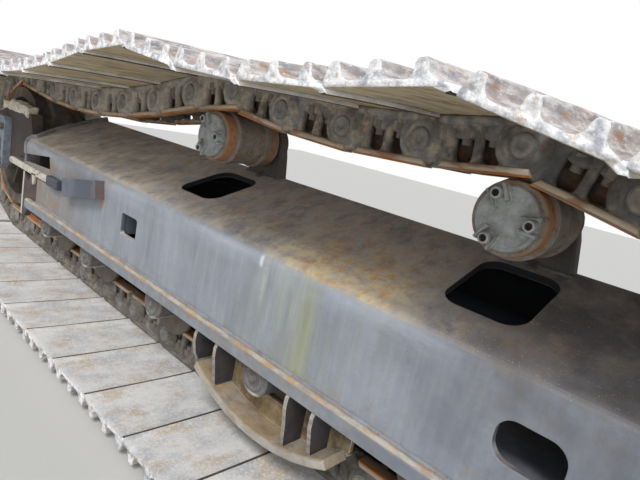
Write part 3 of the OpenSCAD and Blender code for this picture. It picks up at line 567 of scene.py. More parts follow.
body_outline = ([(12, -34), (46, -RAIL_N), (200, -RAIL_N)] + circle(PITCH, 0, 50, 10, -62, 118)
                + [(205, SHOE_IN), (10, SHOE_IN)])
link_parts = [
    cut_plate(body_outline, 68, 88, 4.0, [window(*w) for w in WINDOWS]),
    cut_plate(circle(PITCH, 0, 50, 36), 78, 92, 5.5),
    cut_plate(circle(0, 0, 44, 28), 62, 75, 4.0),
    cut_plate([(-6, -42), (20, -RAIL_N), (60, -RAIL_N), (60, SHOE_IN), (-6, 42)], 63, 75, 3.0),
    cut_plate([(38, -RAIL_N), (50, -36), (204, -36), (212, -RAIL_N)], 66, 95, 2.4, marks=[RAIL] * 3),
    cut_plate([(41, -50.2), (43, -46.5), (207, -46.5), (210, -50.2)], 66, 95.4, 0.4, marks=[ARRIS] * 3),
    cut_plate([(30, SHOE_IN), (30, 30), (PITCH, 30), (198, SHOE_IN)], 64, 94, 4.0),
    turned([(0, 88), (38, 88), (37, 92), (33, 95.5), (28, 97.5), (24, 97.8), (22, 95.4), (20.5, 95.4),
            (19.5, 98.8), (17, 100), (9, 100), (8, 98.6), (0, 98.4)], (PITCH, 0, 0), segments=32,
           marks=[LINK_BODY] * 6 + [PIN] * 6),
]
for side, label in ((1, "outer"), (-1, "inner")):
    piece("link_plates_" + label, [on_link(part, k, side) for k in range(LINKS) for part in link_parts],
          [link_steel, rail_steel, pin_steel, arris_rust],
          replaces=["link_rail_" + label], smooth=60)

# Pins and bushings.
# Each joint turns on a pin inside a case-hardened bushing, worn bright where the sprocket
# pulls on it and grey with dust between.
bushing_steel = finish("hardened_bushing", "#77726a", 0.6, [
    ("#8f877a", 0.8, 40, 0.5, 0.6, 0.6),
    ("#6a3f20", 0.9, 30, 0.25, 0.2, 0.6),
], metallic=0.4, grain=(2, 0.3))
bushing = turned([(0, -62), (26, -62), (29.5, -59), (29.5, -34), (28.8, -30), (28.8, 30), (29.5, 34),
                  (29.5, 59), (26, 62), (0, 62)], segments=24)
piece("track_bushings_turned", [on_link(bushing, k) for k in range(LINKS)], [bushing_steel],
      replaces=["track_bushings"])


# Earth in the chain.
# Clay packs between the link plates, where no tooth or roller reaches it, and dries there:
# a rough dark cake under each shoe, closed off short of the idler and the sprocket.
def cake(low, high, steps, rough, seed):
    """A closed lump between two corners, its six sides roughened by a fixed pattern."""
    shell = bmesh.new()
    bmesh.ops.create_cube(shell, size=2.0)
    bmesh.ops.subdivide_edges(shell, edges=shell.edges[:], cuts=steps, use_grid_fill=True)
    shell.verts.ensure_lookup_table()
    middle, half = (np.array(low) + high) / 2, (np.array(high, float) - low) / 2
    spots = np.array([tuple(v.co) for v in shell.verts])
    rounded = spots / np.maximum(np.linalg.norm(spots, ord=6, axis=1), 1e-6)[:, None]
    rounded = rounded * half + middle
    swell = np.array([noise.noise(Vector(tuple(spot / LUMP_SIZE + seed))) for spot in rounded]) * rough
    rounded += spots / np.linalg.norm(spots, axis=1)[:, None] * (swell - rough * 0.5)[:, None]
    faces = [tuple(v.index for v in face.verts) for face in shell.faces]
    shell.free()
    return rounded, faces, [0] * len(faces)


# Clay, pressed and dried between the plates: dead matt, coarse and cracked, stained by rust
dry_clay = finish("dry_clay", "#4a4036", 0.97, [
    ("#6f6150", 0.97, 20, 0.42, 0.4, 0.7),
    ("#9a5424", 0.95, 24, 0.26, 0.3, 0.7),
], grain=(6, 2.0))
LUMP_SIZE, WHEEL_CLEAR = 34, 330
clay_rear, clay_front = sprocket_x + WHEEL_CLEAR, idler_x - WHEEL_CLEAR
cakes = [on_link(cake((28, -66, -44), (176, 66, 46), 6, 11, k * 3.1), k) for k in range(LINKS)
         if clay_rear < pins[k][0] < clay_front and clay_rear < pins[(k + 1) % LINKS][0] < clay_front]
piece("packed_clay", cakes, [dry_clay], smooth=80)
nut_earth = [on_link(cake((t0 - 4, 56, 4), (t1 + 4, 88, 36), 3, 5, k * 5.3 + t0), k, side)
             for k in range(LINKS) for side in (1, -1) for t0, t1 in WINDOWS]
piece("window_earth", nut_earth, [link_steel], smooth=80)

# Shoes.
# Rolled triple-grouser section, cut to 800 mm and bolted on with four bolts. The rear lip
# hooks under the next shoe. Scraping leaves pale dust outside; inside they stay olive.

# Scraped rolled steel: pale dried dust in the valleys, bare brown patches, bright bruised corners
shoe_outside = finish("scraped_shoe_steel", "#bdb3ad", 0.85, [
    ("#8b7f80", 0.85, 16, 0.46, 0.35, 0.8, dict(stretch=(1, 5, 1))),
    ("#959fae", 0.85, 20, 0.4, 0.4, 0.6, dict(stretch=(1, 5, 1))),
    ("#e3dfdb", 0.85, 9, 0.42, 0.3, 0.85, dict(stretch=(1, 5, 1))),
    ("#b78a5e", 0.85, 14, 0.3, 0.2, 0.7, dict(stretch=(1, 5, 1))),
    ("#f6f4f2", 0.8, 4, 0.24, 0.15, 0.8, dict(stretch=(1, 3, 1))),
], grain=(4, 1.1), worn=("#ffffff", 4, 1.0))
# The inner faces: mill scale under an olive-tan film, wiped lengthwise
shoe_inside = finish("mill_scale_shoe", "#c6b38f", 0.8, [
    ("#7a6b50", 0.85, 16, 0.46, 0.4, 0.7, dict(stretch=(1, 7, 1))),
    ("#cfc2a2", 0.85, 12, 0.42, 0.3, 0.7, dict(stretch=(1, 9, 1))),
    ("#a5a6a2", 0.9, 50, 0.3, 0.5, 0.5, dict(stretch=(1, 4, 1))),
    ("#dad9d8", 0.9, 120, 0.95, 0.4, 0.95, dict(up=(0.3, 0.9))),
    ("#9a9da6", 0.9, 70, 0.44, 0.4, 0.6, dict(up=(0.3, 0.9), stretch=(1, 2, 1))),
    ("#bb9f7a", 0.9, 40, 0.36, 0.3, 0.55, dict(up=(0.3, 0.9), stretch=(1, 2, 1))),
    ("#e9e7e2", 0.95, 7, 0.36, 0.3, 0.6, dict(up=(0.3, 0.9))),
], grain=(4, 0.9))
# The cut ends, bruised and dusty: nearly white where they rub, grey where they lie up
shoe_ends = finish("bruised_shoe_end", "#d6d3d0", 0.75, [
    ("#ffffff", 0.7, 9, 0.5, 0.4, 0.85),
    ("#8f949f", 0.85, 15, 0.4, 0.3, 0.75),
    ("#bd9468", 0.85, 12, 0.28, 0.2, 0.65),
    ("#b3b0ab", 0.9, 40, 0.95, 0.3, 0.9, dict(up=(0.5, 0.9), z=(0, 2, 60, 90))),
], grain=(3, 1.0), worn=("#ffffff", 3.5, 1.0))
# Grime packed into the laps between shoes, darkened further as painted shade behind each lip
lap_grime_and_shade = finish("lap_grime_and_shade", "#3f3a33", 0.95, [
    ("#6b604e", 0.95, 20, 0.4, 0.4, 0.7, dict(stretch=(1, 4, 1))),
], grain=(3, 0.8))
# The lips, white as a painted highlight where light catches their edge, grey where they lie up
shoe_lip = finish("lip_painted_highlight", "#ffffff", 0.55, [
    ("#a9a49c", 0.85, 16, 0.26, 0.3, 0.6, dict(stretch=(1, 4, 1))),
    ("#b3b0ab", 0.9, 40, 0.95, 0.3, 0.9, dict(up=(0.5, 0.9), z=(0, 2, 60, 90))),
], grain=(3, 0.6))
OUTSIDE, INSIDE, ENDS, GRIME_AND_SHADE, LIP = range(5)

# The rolled section as (along the link, outward): one grouser, the outer side, the inner side
GROUSER = [(-24, 55), (-17, 57), (-11.5, 62), (-9, 69), (-8, 76), (-5.5, 79.7), (5.5, 79.7), (8, 76),
           (9, 69), (11.5, 62), (17, 57), (24, 55)]
GROUSER_PLACES = (43, 109, 177)
SHOE_OUT = ([(27, 46), (27, 58), (31, 68), (34.5, 76), (38, 79.7)]
            + [(GROUSER_PLACES[0] + a, n) for a, n in GROUSER[6:]]
            + [(place + a, n) for place in GROUSER_PLACES[1:] for a, n in GROUSER[:-1]]
            + [(199, 55), (209, 52), (218, 45)])
SHOE_INSIDE = [(220, 40), (212, 38.5), (203, 42), (195, 45), (120, 45), (42, 45), (34, 45)]
profile = np.array(SHOE_OUT + SHOE_INSIDE, float)
around, out_count = len(profile), len(SHOE_OUT)
SHOE_HALF, LINK_HALF, END_ZONE = 400, 95, 380
# Wear bends the free ends of a shoe towards the chain by this much
BEND = 13.0
half_stations = [0, 100, 190, 280, 350, 385, 397, SHOE_HALF]
stations = [-y for y in half_stations[:0:-1]] + half_stations
shoe_faces, shoe_marks, lengths = bands(around, len(stations)), [], len(stations) - 1
for s in range(lengths):
    outer = ENDS if s in (0, lengths - 1) else OUTSIDE
    shoe_marks += [outer] * (out_count - 2) + [LIP, LIP, GRIME_AND_SHADE]
    shoe_marks += [INSIDE] * (around - out_count - 2) + [outer]
cut_end = tessellate_polygon([[Vector((*p, 0)) for p in profile]])
for first in (0, lengths * around):
    shoe_faces += [tuple(first + v for v in tri) for tri in cut_end]
    shoe_marks += [ENDS] * len(cut_end)
wear = np.random.RandomState(7)
shoe_parts = []
for k in range(LINKS):
    spots = []
    ends = wear.uniform(-2.5, 0, 2)
    droop = wear.uniform(-1.2, 1.2, len(stations))
    for s, y in enumerate(stations):
        at_end = abs(y) > END_ZONE
        bruise = wear.uniform(-1.5, 0.6, around) * (1 if at_end else 0.35)
        t = profile[:, 0] + wear.uniform(-0.6, 0.6, around)
        n = profile[:, 1] + np.where(profile[:, 1] > 60, bruise + droop[s], bruise * 0.15)
        inset = 2.0 if abs(y) == SHOE_HALF else 0.0
        n = np.where(profile[:, 1] > 50, n - inset, n + inset * 0.6)
        reach = np.full(around, float(y))
        if at_end:
            reach += ends[int(y > 0)] * np.sign(y)
            reach += wear.uniform(-1.2, 0.4, around) * np.sign(y)
            reach = np.clip(reach, -SHOE_HALF, SHOE_HALF)
        free = max(abs(y) - LINK_HALF, 0) / (SHOE_HALF - LINK_HALF)
        n = np.minimum(n, low_pin_z) - BEND * free ** 1.3
        spots.append(np.column_stack([t, reach, n]))
    shoe_parts.append(on_link((np.vstack(spots), shoe_faces, shoe_marks), k))
piece("track_shoes_rolled", shoe_parts, [shoe_outside, shoe_inside, shoe_ends, lap_grime_and_shade, shoe_lip],
      replaces=["track_shoes"], smooth=50)

# Shoe bolts and nuts.
# Four high-strength bolts a shoe. Their flat hexagon heads lie between the grousers, and the
# nuts sit in the links' windows. Plain quenched steel, worn and dusty.
bolt_steel = finish("quenched_bolt_steel", "#716d68", 0.75, [
    ("#928a7e", 0.85, 20, 0.45, 0.5, 0.7),
    ("#7d451d", 0.9, 14, 0.25, 0.2, 0.7),
], metallic=0.4, grain=(2, 0.3))
BOLT_PLACES, BOLT_Y = (84, 134), 74


def hexagon(across_flats, low, high):
    """A hexagon head or nut about the z axis, with its corners chamfered at the top."""
    corner = across_flats / math.sqrt(3)
    return turned([(0, low), (corner, low), (corner, high - 2), (corner - 2, high), (0, high)],
                  axis="z", segments=6)


def set_at(part, spot):
    return part[0] + np.array(spot, float), part[1], part[2]


# The nut's chamfer faces the rail, so it is a head turned over
head, nut = hexagon(31, 54, 67), hexagon(26, 8, 26)
nut = (nut[0] * np.array([1, 1, -1]) + np.array([0, 0, 31.0]), nut[1], nut[2])
stud = turned([(0, -6), (9, -6), (10, -4), (10, 6)], axis="z", segments=12)
bolt_spots = [(k, (t, y, 0)) for k in range(LINKS) for t in BOLT_PLACES for y in (BOLT_Y, -BOLT_Y)]
piece("shoe_nuts", [on_link(set_at(part, spot), k) for k, spot in bolt_spots for part in (nut, stud)],
      [bolt_steel], smooth=30)
piece("shoe_bolt_heads", [on_link(set_at(head, spot), k) for k, spot in bolt_spots],
      [bolt_steel], smooth=30)

# Carrier rollers and their covers.
# Two small rollers hold up the chain. Each is cast iron with two treads, closed by a cover
# whose three screws sit in deep bosses between ribs. The treads show fresh orange rust.

# Sand-cast iron, never painted: a dull olive-grey skin, fresh orange rust on both treads
roller_iron = finish("rusty_roller_iron", "#8a867c", 0.85, [
    ("#8d8a84", 0.85, 30, 0.5, 0.6, 0.6),
    ("#6b6742", 0.85, 26, 0.42, 0.4, 0.6),
    ("#a0622f", 0.9, 14, 0.36, 0.3, 0.6),
    ("#b37d57", 0.9, 22, 0.76, 0.5, 0.85, dict(y=(55, 60, 84, 90))),
    ("#c98b58", 0.9, 8, 0.4, 0.3, 0.7, dict(y=(55, 60, 84, 90))),
    ("#9a6a42", 0.9, 14, 0.62, 0.5, 0.75, dict(y=(-92, -84, -60, -54))),
    ("#6b3b1c", 0.9, 16, 0.3, 0.2, 0.6),
    ("#dcd6b4", 0.9, 4, 0.16, 0.1, 0.8),
], grain=(3, 0.9), worn=("#a3a29c", 4, 0.8))
# The same iron, cast finer and once painted grey: chalky, with bright rubbed rims
cover_iron = finish("cast_cover_iron", "#9a9fa0", 0.8, [
    ("#b5b8b6", 0.8, 14, 0.45, 0.5, 0.55),
    ("#7f7b71", 0.9, 18, 0.4, 0.4, 0.6),
    ("#8f7247", 0.9, 10, 0.12, 0.15, 0.6),
    ("#cfd0cd", 0.8, 3.5, 0.2, 0.15, 0.7),
], grain=(2, 0.6), worn=("#dfe0de", 2.5, 0.8))
# Dark enamel on flame-cut plate: dull, browned by dust and old rust
bracket_paint = finish("bracket_enamel", "#4b4a4a", 0.75, [
    ("#5f564b", 0.9, 50, 0.5, 0.6, 0.7),
    ("#6e4a2c", 0.92, 30, 0.3, 0.3, 0.6),
], grain=(3, 0.5), worn=("#77736c", 4, 0.5))
# The bore of each boss takes the dark bracket enamel as painted shade
COVER_IRON, HOLE_SHADE = range(2)
BOSS_ANGLES, BOSS_PLACE = (60, 180, 300), 44
PLATE_IN, PLATE_OUT = -138, -106


def moved(part, matrix):
    return part[0] @ np.array(matrix.to_3x3()).T + np.array(matrix.translation), part[1], part[2]


dress(roller_iron, "carrier_roller_front", "carrier_roller_rear")
for label, x in zip(("front", "rear"), CARRIERS):
    centre = (x, 0, CARRIER_Z)
    cover = [turned([(0, 89), (55, 89), (55.5, 93), (54, 98), (51.5, 100), (49.5, 100), (47.5, 98.2),
                     (45, 97.6), (14, 98.4), (12, 99.2), (4.6, 99.4), (4.2, 97.5), (0, 97)],
                    centre, segments=72)]
    for angle in BOSS_ANGLES:
        spin = Matrix.Translation(centre) @ Matrix.Rotation(math.radians(angle), 4, "Y")
        for s in (-1, 1):
            rib_edge = [(25, s * 10.5 - 2), (27, s * 13 + 2.6), (56, s * 14.5 + 2.8), (56, s * 14 - 2.8)]
            cover.append(moved(cut_plate(rib_edge, 93, 112, 2.2), spin))
        boss = turned([(0, 93), (11.5, 93), (10.2, 114), (8.8, 116), (6.4, 116), (5.8, 114), (5.4, 104),
                       (0, 104)], (BOSS_PLACE, 0, 0), segments=24, marks=[COVER_IRON] * 4 + [HOLE_SHADE] * 3)
        cover.append(moved(boss, spin))
    piece("carrier_cover_cast_" + label, cover, [cover_iron, bracket_paint],
          replaces=["carrier_cover_" + label], smooth=45)
    # The bracket: a straight plate on the ridge, with a short gusset that stops at the opening
    foot_z = top_height(PLATE_OUT) - 6
    plate_edge = ([(x - 72, foot_z), (x - 60, 660)] + circle(x, 686, 56, 14, 190, -200)
                  + [(x + 60, 660), (x + 72, foot_z)])
    gusset_edge = [(-107, 604), (-107, foot_z), (-84, top_height(-84) - 4), (-86, top_height(-86) + 4)]
    bracket = [cut_plate(plate_edge, PLATE_IN, PLATE_OUT, 3.0),
               cut_plate(gusset_edge, x - 9, x + 9, 2.0, lay="yzx"),
               turned([(0, -106), (42, -106), (42, -100), (38, -98), (0, -98)], centre, segments=40)]
    piece("carrier_bracket_plate_" + label, bracket, [bracket_paint],
          replaces=["carrier_bracket_" + label])

# Bottom rollers, shafts and collars.
# Seven double-flanged rollers carry the frame on the lower chain. Their shafts end in collars
# that hang from the flange, each closed by a bolt; the lower rims are rubbed light.

# Forged rollers, turned bare: brown-grey under dust, and dark where the box shades them
bottom_iron = finish("dusty_roller_steel", "#5f5a52", 0.75, [
    ("#7f776b", 0.9, 60, 0.5, 0.6, 0.6),
    ("#6b4224", 0.9, 40, 0.3, 0.3, 0.6),
    ("#26231f", 0.95, 60, 0.98, 0.3, 0.85, dict(z=(196, 236, 400, 410))),
], metallic=0.2, grain=(3, 0.6), worn=("#9a9184", 4, 0.5))
# Cast iron collars in worn grey paint, a pale line round the lower rim
collar_iron = finish("cast_collar_iron", "#67686a", 0.75, [
    ("#7d7c78", 0.85, 24, 0.45, 0.5, 0.6),
    ("#6f4e33", 0.9, 20, 0.34, 0.3, 0.6),
    ("#55504a", 0.9, 30, 0.4, 0.4, 0.6),
    ("#cfccbf", 0.8, 18, 0.6, 0.4, 0.75, dict(z=(164, 167, 173, 181))),
], grain=(3, 0.8), worn=("#a5a49d", 3, 0.6))
dress(bottom_iron, "bottom_rollers_outer", "bottom_rollers_inner", "roller_shafts")
ROLLER_R, RUNNING_GAP = 78, 0.3
COLLAR_R, FLANGE_LOW = 42, 240
roller_z = low_pin_z + RAIL_N + ROLLER_R + RUNNING_GAP
roller_places = [ROLLER_MID] + [ROLLER_MID + side * reach for reach in (438, 865, ROLLER_REACH)
                                for side in (-1, 1)]


def along_y(part, x, y, z, outward=1):
    """Sets a part made about the z axis at a point, pointing outboard or, at outward=-1, inboard."""
    turn_to = Matrix.Rotation(-outward * math.pi / 2, 4, "X")
    return moved(part, Matrix.Translation((x, y, z)) @ turn_to)


def both_sides(parts):
    return [(part[0] * np.array([1, side, 1]), part[1], part[2]) for side in (1, -1) for part in parts]


collar_parts = []
for x in roller_places:
    dee = circle(x, roller_z, COLLAR_R, 20, 180, 180)
    dee += [(x + COLLAR_R, FLANGE_LOW), (x - COLLAR_R, FLANGE_LOW)]
    ring = [(29, 182), (29, 186), (27, 187.6), (23, 187.6), (21, 184.5), (9, 184.5), (7, 185.6), (0, 185.6)]
    collar_parts += both_sides([cut_plate(dee, 119, 183, 3.0), turned(ring, (x, 0, roller_z), segments=32),
                                along_y(hexagon(15, 0, 6), x, 184, roller_z)])
piece("roller_collars_cast", collar_parts, [collar_iron], replaces=["roller_collars"])

# Centre guard.
# A flame-cut guard keeps the chain on its middle rollers: a curved bar welded under an opened
# plate, stiffened by four ribs. Its paint is gone, and ochre rust and dry earth cover the plate.

# Bare plate, rusted for years: a dusty ochre bloom, darker near the flange that shades it
guard_rust = finish("rusted_guard_plate", "#7d7159", 0.88, [
    ("#9a8355", 0.9, 60, 0.45, 0.5, 0.65),
    ("#96602f", 0.9, 34, 0.34, 0.25, 0.65),
    ("#5b4a3c", 0.9, 70, 0.4, 0.5, 0.7),
    ("#463931", 0.95, 120, 0.9, 0.5, 0.8, dict(z=(176, 214, 260, 280))),
    ("#c0b08c", 0.95, 30, 0.36, 0.4, 0.5),
], grain=(4, 1.0), worn=("#a89a80", 3, 0.6))
# The bar, scraped bare: grey-tan metal, with rust settling on its upper face
bar_grey = finish("scraped_guard_bar", "#a8a49c", 0.8, [
    ("#a39d92", 0.85, 30, 0.42, 0.5, 0.6),
    ("#8a6f4c", 0.9, 40, 0.34, 0.3, 0.6),
    ("#9d8560", 0.9, 60, 0.6, 0.5, 0.75, dict(up=(0.2, 0.7))),
    ("#6f6152", 0.9, 40, 0.36, 0.4, 0.6, dict(up=(0.2, 0.7))),
    ("#a0683a", 0.9, 14, 0.26, 0.3, 0.55, dict(up=(0.2, 0.7))),
], grain=(3, 0.9), worn=("#b9b5aa", 3, 0.7))
# Plate edges, rubbed to pale bare steel
worn_arris = finish("rubbed_edge", "#a5a199", 0.6, [
    ("#7a6e62", 0.8, 12, 0.45, 0.4, 0.7),
], metallic=0.2, grain=(2, 0.4))
# The ribs keep their dark scale, with a little rust breaking through
rib_steel = finish("dark_rib_steel", "#3b393c", 0.8, [
    ("#51494a", 0.9, 30, 0.4, 0.5, 0.6),
    ("#6b4126", 0.9, 24, 0.26, 0.3, 0.5),
], grain=(3, 0.6))
PLATE_RUST, BAR, EDGE, RIB = range(4)
GUARD_X, GUARD_Z, GUARD_R, GUARD_BAR, GUARD_HALF = 4.0, 553.0, 466.0, 20.0, 222.0
GUARD_IN, GUARD_OUT = 126, 138
OPEN_X, OPEN_Z, OPEN_HALF, OPEN_R = GUARD_X - 9, 199.3, 86, 40
RIB_PLACES, RIB_HALF = (226, 146, -97, -169), 5
sweep = math.degrees(math.asin(GUARD_HALF / GUARD_R))


def guard_line(radius, inset=0.0):
    return circle(GUARD_X, GUARD_Z, radius, 24, 270 - sweep + inset, 2 * (sweep - inset))


def guard_foot(x):
    return GUARD_Z - math.sqrt((GUARD_R - GUARD_BAR) ** 2 - x * x)


foot_end = guard_foot(GUARD_HALF) - 4
opening = ([(OPEN_X + OPEN_HALF, FLANGE_LOW + 1), (OPEN_X + OPEN_HALF, 200)]
           + circle(OPEN_X + OPEN_HALF - OPEN_R, OPEN_Z, OPEN_R, 8, 0, -90)
           + circle(OPEN_X - OPEN_HALF + OPEN_R, OPEN_Z, OPEN_R, 8, 270, -90)
           + [(OPEN_X - OPEN_HALF, FLANGE_LOW + 1)])
plate_line = ([(GUARD_X - GUARD_HALF - 6, FLANGE_LOW), (GUARD_X - GUARD_HALF - 6, foot_end)]
              + guard_line(GUARD_R - GUARD_BAR + 4, 1)
              + [(GUARD_X + GUARD_HALF + 10, foot_end), (GUARD_X + GUARD_HALF + 10, FLANGE_LOW)] + opening)
bar_line = guard_line(GUARD_R) + guard_line(GUARD_R - GUARD_BAR)[::-1]
guard_half = [cut_plate(bar_line, 130, 200, 3.0, marks=[BAR] * 3),
              cut_plate(plate_line, GUARD_IN, GUARD_OUT, 1.5, marks=(PLATE_RUST, PLATE_RUST, EDGE))]
for d in RIB_PLACES:
    foot = guard_foot(min(abs(d) + 6, 215))
    rib_edge = [(GUARD_OUT, FLANGE_LOW), (201, FLANGE_LOW), (206, 230), (206, 207), (200, 178),
                (194, foot + 8), (190, foot - 2), (GUARD_OUT, foot - 2)]
    guard_half.append(cut_plate(rib_edge, GUARD_X + d - RIB_HALF, GUARD_X + d + RIB_HALF, 1.5, lay="yzx",
                                marks=(RIB, EDGE, EDGE)))
piece("track_guard_welded", both_sides(guard_half), [guard_rust, bar_grey, worn_arris, rib_steel],
      replaces=["track_guard", "guard_ribs"])

# Fork, guide bars and side step.
# The frame ends in two fork plates. A cream-painted bar beside each guides the idler's yoke,
# and a short step is welded to the outer side. Paint has chipped to brown steel.

# Brushed cream paint: thick and a little yellow, chipped to brown and dirty on top
cream_paint = finish("chipped_cream_paint", "#cfcbbd", 0.65, [
    ("#a8a396", 0.8, 40, 0.45, 0.5, 0.6),
    ("#5f5348", 0.9, 14, 0.24, 0.12, 0.9),
    ("#4f4840", 0.95, 60, 0.95, 0.4, 0.85, dict(up=(0.4, 0.8), y=(-192, -186, 184, 192))),
    ("#8a5a34", 0.9, 30, 0.22, 0.2, 0.6),
], grain=(3, 0.7), worn=("#e6e3d8", 3, 0.6))
# Bare plate gone brown, with cream paint left along its front edge
fork_steel = finish("brown_fork_plate", "#443e40", 0.8, [
    ("#5d5453", 0.9, 50, 0.45, 0.5, 0.6),
    ("#6a4a32", 0.9, 30, 0.34, 0.3, 0.6),
    ("#d2cec2", 0.8, 10, 0.85, 0.3, 0.9, dict(x=(1458, 1463, 1480, 1484))),
    ("#c9c6bd", 0.8, 8, 0.14, 0.1, 0.7),
], grain=(3, 0.8), worn=("#a39d92", 3, 0.5))
# Enamel on the stop block at the bar's rear end, darkened as painted shade
block_grey = finish("stop_enamel_painted_shade", "#454850", 0.7, [
    ("#5b5f69", 0.8, 30, 0.4, 0.5, 0.6),
], grain=(3, 0.5), worn=("#8a8f98", 3, 0.5))
# Frame enamel, darkened as painted shade and darker still in the middle, with painted light on its top
# faces; browned at the rear end and rubbed at its arrises
step_paint = finish("step_enamel_and_painted_light", "#626776", 0.65, [
    ("#777c88", 0.75, 40, 0.45, 0.6, 0.5),
    ("#6f5f50", 0.9, 26, 0.35, 0.3, 0.6),
    # Darker band in the middle: painted shade
    ("#4b4f5c", 0.75, 60, 0.8, 0.5, 0.7, dict(x=(800, 830, 930, 970))),
    ("#76605a", 0.85, 30, 0.85, 0.4, 0.7, dict(x=(770, 780, 803, 812))),
    # Lighter top faces: painted light
    ("#7f858f", 0.9, 60, 0.8, 0.5, 0.8, dict(up=(0.5, 0.9))),
], grain=(3, 0.5), worn=("#9aa0aa", 3, 0.6))
BROWN, STOP = 1, 2
FORK_FRONT, BAR_REAR, BAR_FRONT = FRONT_X - 47, FRONT_X - 318, FRONT_X + 98
BAR_LOW, BAR_HIGH, NOSE_R = 371, 396, 12
SLOT_X, SLOT_HALF = FORK_FRONT - 46, 28
bar_edge = ([(BAR_REAR, BAR_LOW), (BAR_REAR, BAR_HIGH), (BAR_FRONT - NOSE_R, BAR_HIGH)]
            + circle(BAR_FRONT - NOSE_R, (BAR_LOW + BAR_HIGH) / 2, NOSE_R, 8, 80, -160)
            + [(BAR_FRONT - NOSE_R, BAR_LOW)])
TOOTH = ((196, 380), (188, 372), (180, 352), (176, 340), (167, 336), (162, 344), (156, 368), (146, 380))
tooth_edge = [(FRONT_X - back, z) for back, z in TOOTH]
inner_edge = [(BAR_REAR, 366), (BAR_FRONT - 16, 366), (BAR_FRONT - 8, 380), (BAR_FRONT - 16, BAR_HIGH),
              (BAR_REAR, BAR_HIGH)]
guide_bar = [cut_plate(bar_edge, 158, 198, 3.0), cut_plate(tooth_edge, 188, 198, 2.0),
             box(BAR_REAR - 98, BAR_REAR - 8, 372, 406, 188, 212, 4.0, marks=[STOP] * 3),
             box(BAR_REAR, SLOT_X - SLOT_HALF, 366, 382, 166, 187, 1.0, marks=[BROWN] * 3),
             box(SLOT_X + SLOT_HALF, BAR_FRONT - 20, 366, 382, 166, 187, 1.0, marks=[BROWN] * 3),
             cut_plate(inner_edge, 118, 160, 2.0, marks=[BROWN] * 3)]
dress(fork_steel, "fork_outer", "fork_inner")
piece("guide_bars_chipped", both_sides(guide_bar), [cream_paint, fork_steel, block_grey],
      replaces=["guide_bars"])
dress(step_paint, "side_step")

# Idler, yoke and recoil group.
# The cast idler turns on its axle between two blocks bolted to the yoke. Behind it a grease
# cylinder and a red-primed spring push the yoke forward. Dried clay clings to the arms.

# Cast iron whose treads the rails rub smooth: dark brown, a dull shine where it runs
idler_iron = finish("worn_idler_iron", "#4b4643", 0.65, [
    ("#6f685e", 0.85, 60, 0.5, 0.6, 0.6),
    ("#867b6b", 0.5, 40, 0.4, 0.4, 0.5),
    ("#6b4326", 0.9, 30, 0.25, 0.3, 0.6),
], metallic=0.25, grain=(3, 0.5))
# Fresher blue-grey enamel on the machined blocks
block_paint = finish("block_enamel", "#727983", 0.6, [
    ("#9aa6b4", 0.65, 50, 0.45, 0.5, 0.6),
    ("#6b5c4c", 0.9, 30, 0.3, 0.3, 0.6),
])
# Dark enamel under dust that lies thick on every ledge
yoke_paint = finish("yoke_enamel", "#3c3a3b", 0.75, [
    ("#564d45", 0.9, 60, 0.45, 0.6, 0.6),
    ("#6b4023", 0.9, 30, 0.3, 0.3, 0.6),
    ("#bdb5a3", 0.95, 50, 0.5, 0.5, 0.8, dict(up=(0.4, 0.9))),
], grain=(3, 0.6))
# Red lead primer on spring wire: a smooth dull red, dusty along the top of each coil
spring_primer = finish("spring_primer", "#7a4a30", 0.6, [
    ("#5b3a28", 0.8, 40, 0.45, 0.5, 0.6),
    ("#9a8f7c", 0.95, 50, 0.5, 0.5, 0.6, dict(up=(0.4, 0.9))),
], grain=(2, 0.3))
dress(idler_iron, "idler")
dress(pin_steel, "idler_axle")
dress(block_paint, "idler_blocks")
dress(yoke_paint, "idler_yoke", "adjuster")
dress(spring_primer, "recoil_spring")

# Travel drive.
# The rear end carries a welded ring. The drive's cast housing is bolted to it and turns the
# sprocket, and the motor stands inboard under a bent guard.

# Sprayed grey enamel over castings, dusty where it looks up
drive_paint = finish("drive_enamel", "#7c8083", 0.65, [
    ("#8d8a80", 0.85, 60, 0.5, 0.6, 0.6),
    ("#6b5a48", 0.9, 40, 0.35, 0.4, 0.6),
    ("#a39b8d", 0.95, 50, 0.6, 0.5, 0.7, dict(up=(0.4, 0.9))),
])
# Hardened teeth, run bare: brown-grey steel with smooth worn patches
sprocket_steel = finish("worn_sprocket_steel", "#6f685e", 0.6, [
    ("#9a9080", 0.5, 40, 0.5, 0.5, 0.6),
    ("#6b4326", 0.9, 30, 0.3, 0.3, 0.6),
], metallic=0.3, grain=(3, 0.5))
dress(drive_paint, "motor_ring", "final_drive", "final_drive_cover", "travel_motor", "motor_guard")
dress(sprocket_steel, "sprocket")

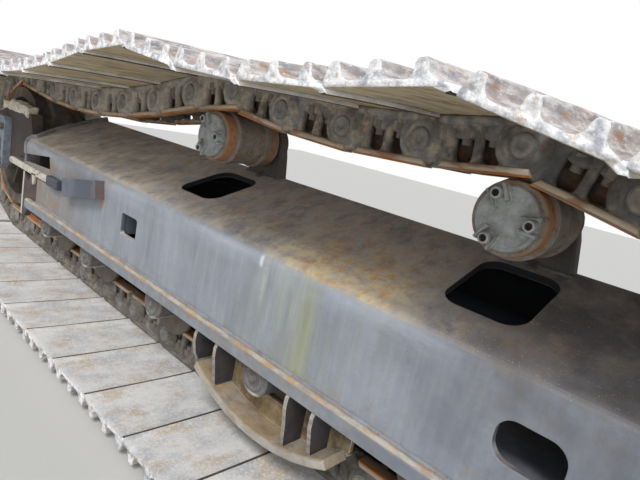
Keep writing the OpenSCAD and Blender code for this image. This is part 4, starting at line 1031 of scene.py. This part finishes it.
# Bolts of the drive and the idler's blocks.
# Plain hexagon bolts hold the sprocket to the drive, the drive to the ring and the blocks to
# the yoke. Steel, once painted with the rest, now grey with rust on the corners.
BLOCK_FACE = 178.3
bolts = []
# Each ring about the drive's axis: its radius, seat, count, bolt size, direction, and first angle
for radius, seat, count, size, outward, start in ((204, 48, 16, 24, 1, 0), (201, -138, 20, 22, 1, 0),
                                                  (151, 88, 14, 14, 1, 12), (72, 129.5, 3, 22, 1, 0),
                                                  (224, -190, 18, 18, -1, 10)):
    bolts += [along_y(hexagon(size, -1, size * 0.55), x, seat, z, outward)
              for x, z in circle(sprocket_x, sprocket_z, radius, count, start)]
cap = turned([(0, -2), (50, -2), (50, 5), (47, 8), (14, 8), (12, 5), (0, 5)], axis="z", segments=40)
for side in (1, -1):
    bolts += [along_y(hexagon(26, -1, 14), idler_x + dx, side * BLOCK_FACE, idler_z + dz, side)
              for dx in (-54, 54) for dz in (-66, 84)]
    bolts.append(along_y(cap, idler_x, side * BLOCK_FACE, idler_z, side))
# Three hexagon plugs on top of the travel motor
for dx, height in ((-30, 26), (20, 26), (62, 20)):
    bolts.append(set_at(hexagon(34, -2, height), (sprocket_x + dx, -318, sprocket_z + 128)))
piece("hexagon_bolts", bolts, [bolt_steel], smooth=30)

# Clay on the idler's yoke.
# Wet clay thrown up by the idler lies along the yoke's arms and has dried pale.
pale_clay = finish("pale_dry_clay", "#e2dccc", 0.97, [
    ("#a3967c", 0.97, 24, 0.45, 0.5, 0.7),
    ("#e6e1d4", 0.97, 12, 0.4, 0.4, 0.6),
    ("#7b6b55", 0.97, 30, 0.3, 0.4, 0.6, dict(up=(0.3, -0.2))),
], grain=(6, 2.0))
ARM_Y, LUMP_HALF = 133, 28
arm_top = idler_z + 170
lumps = [cake((idler_x + rear, side * ARM_Y - LUMP_HALF, arm_top - 20),
              (idler_x + front, side * ARM_Y + LUMP_HALF, arm_top + top), 8, 11, seed)
         for side in (1, -1)
         for rear, front, top, seed in ((-262, -120, 30, 2.2), (-150, -40, 38, 7.4), (-60, 44, 22, 5.1))]
piece("yoke_clay", lumps, [pale_clay], smooth=80)
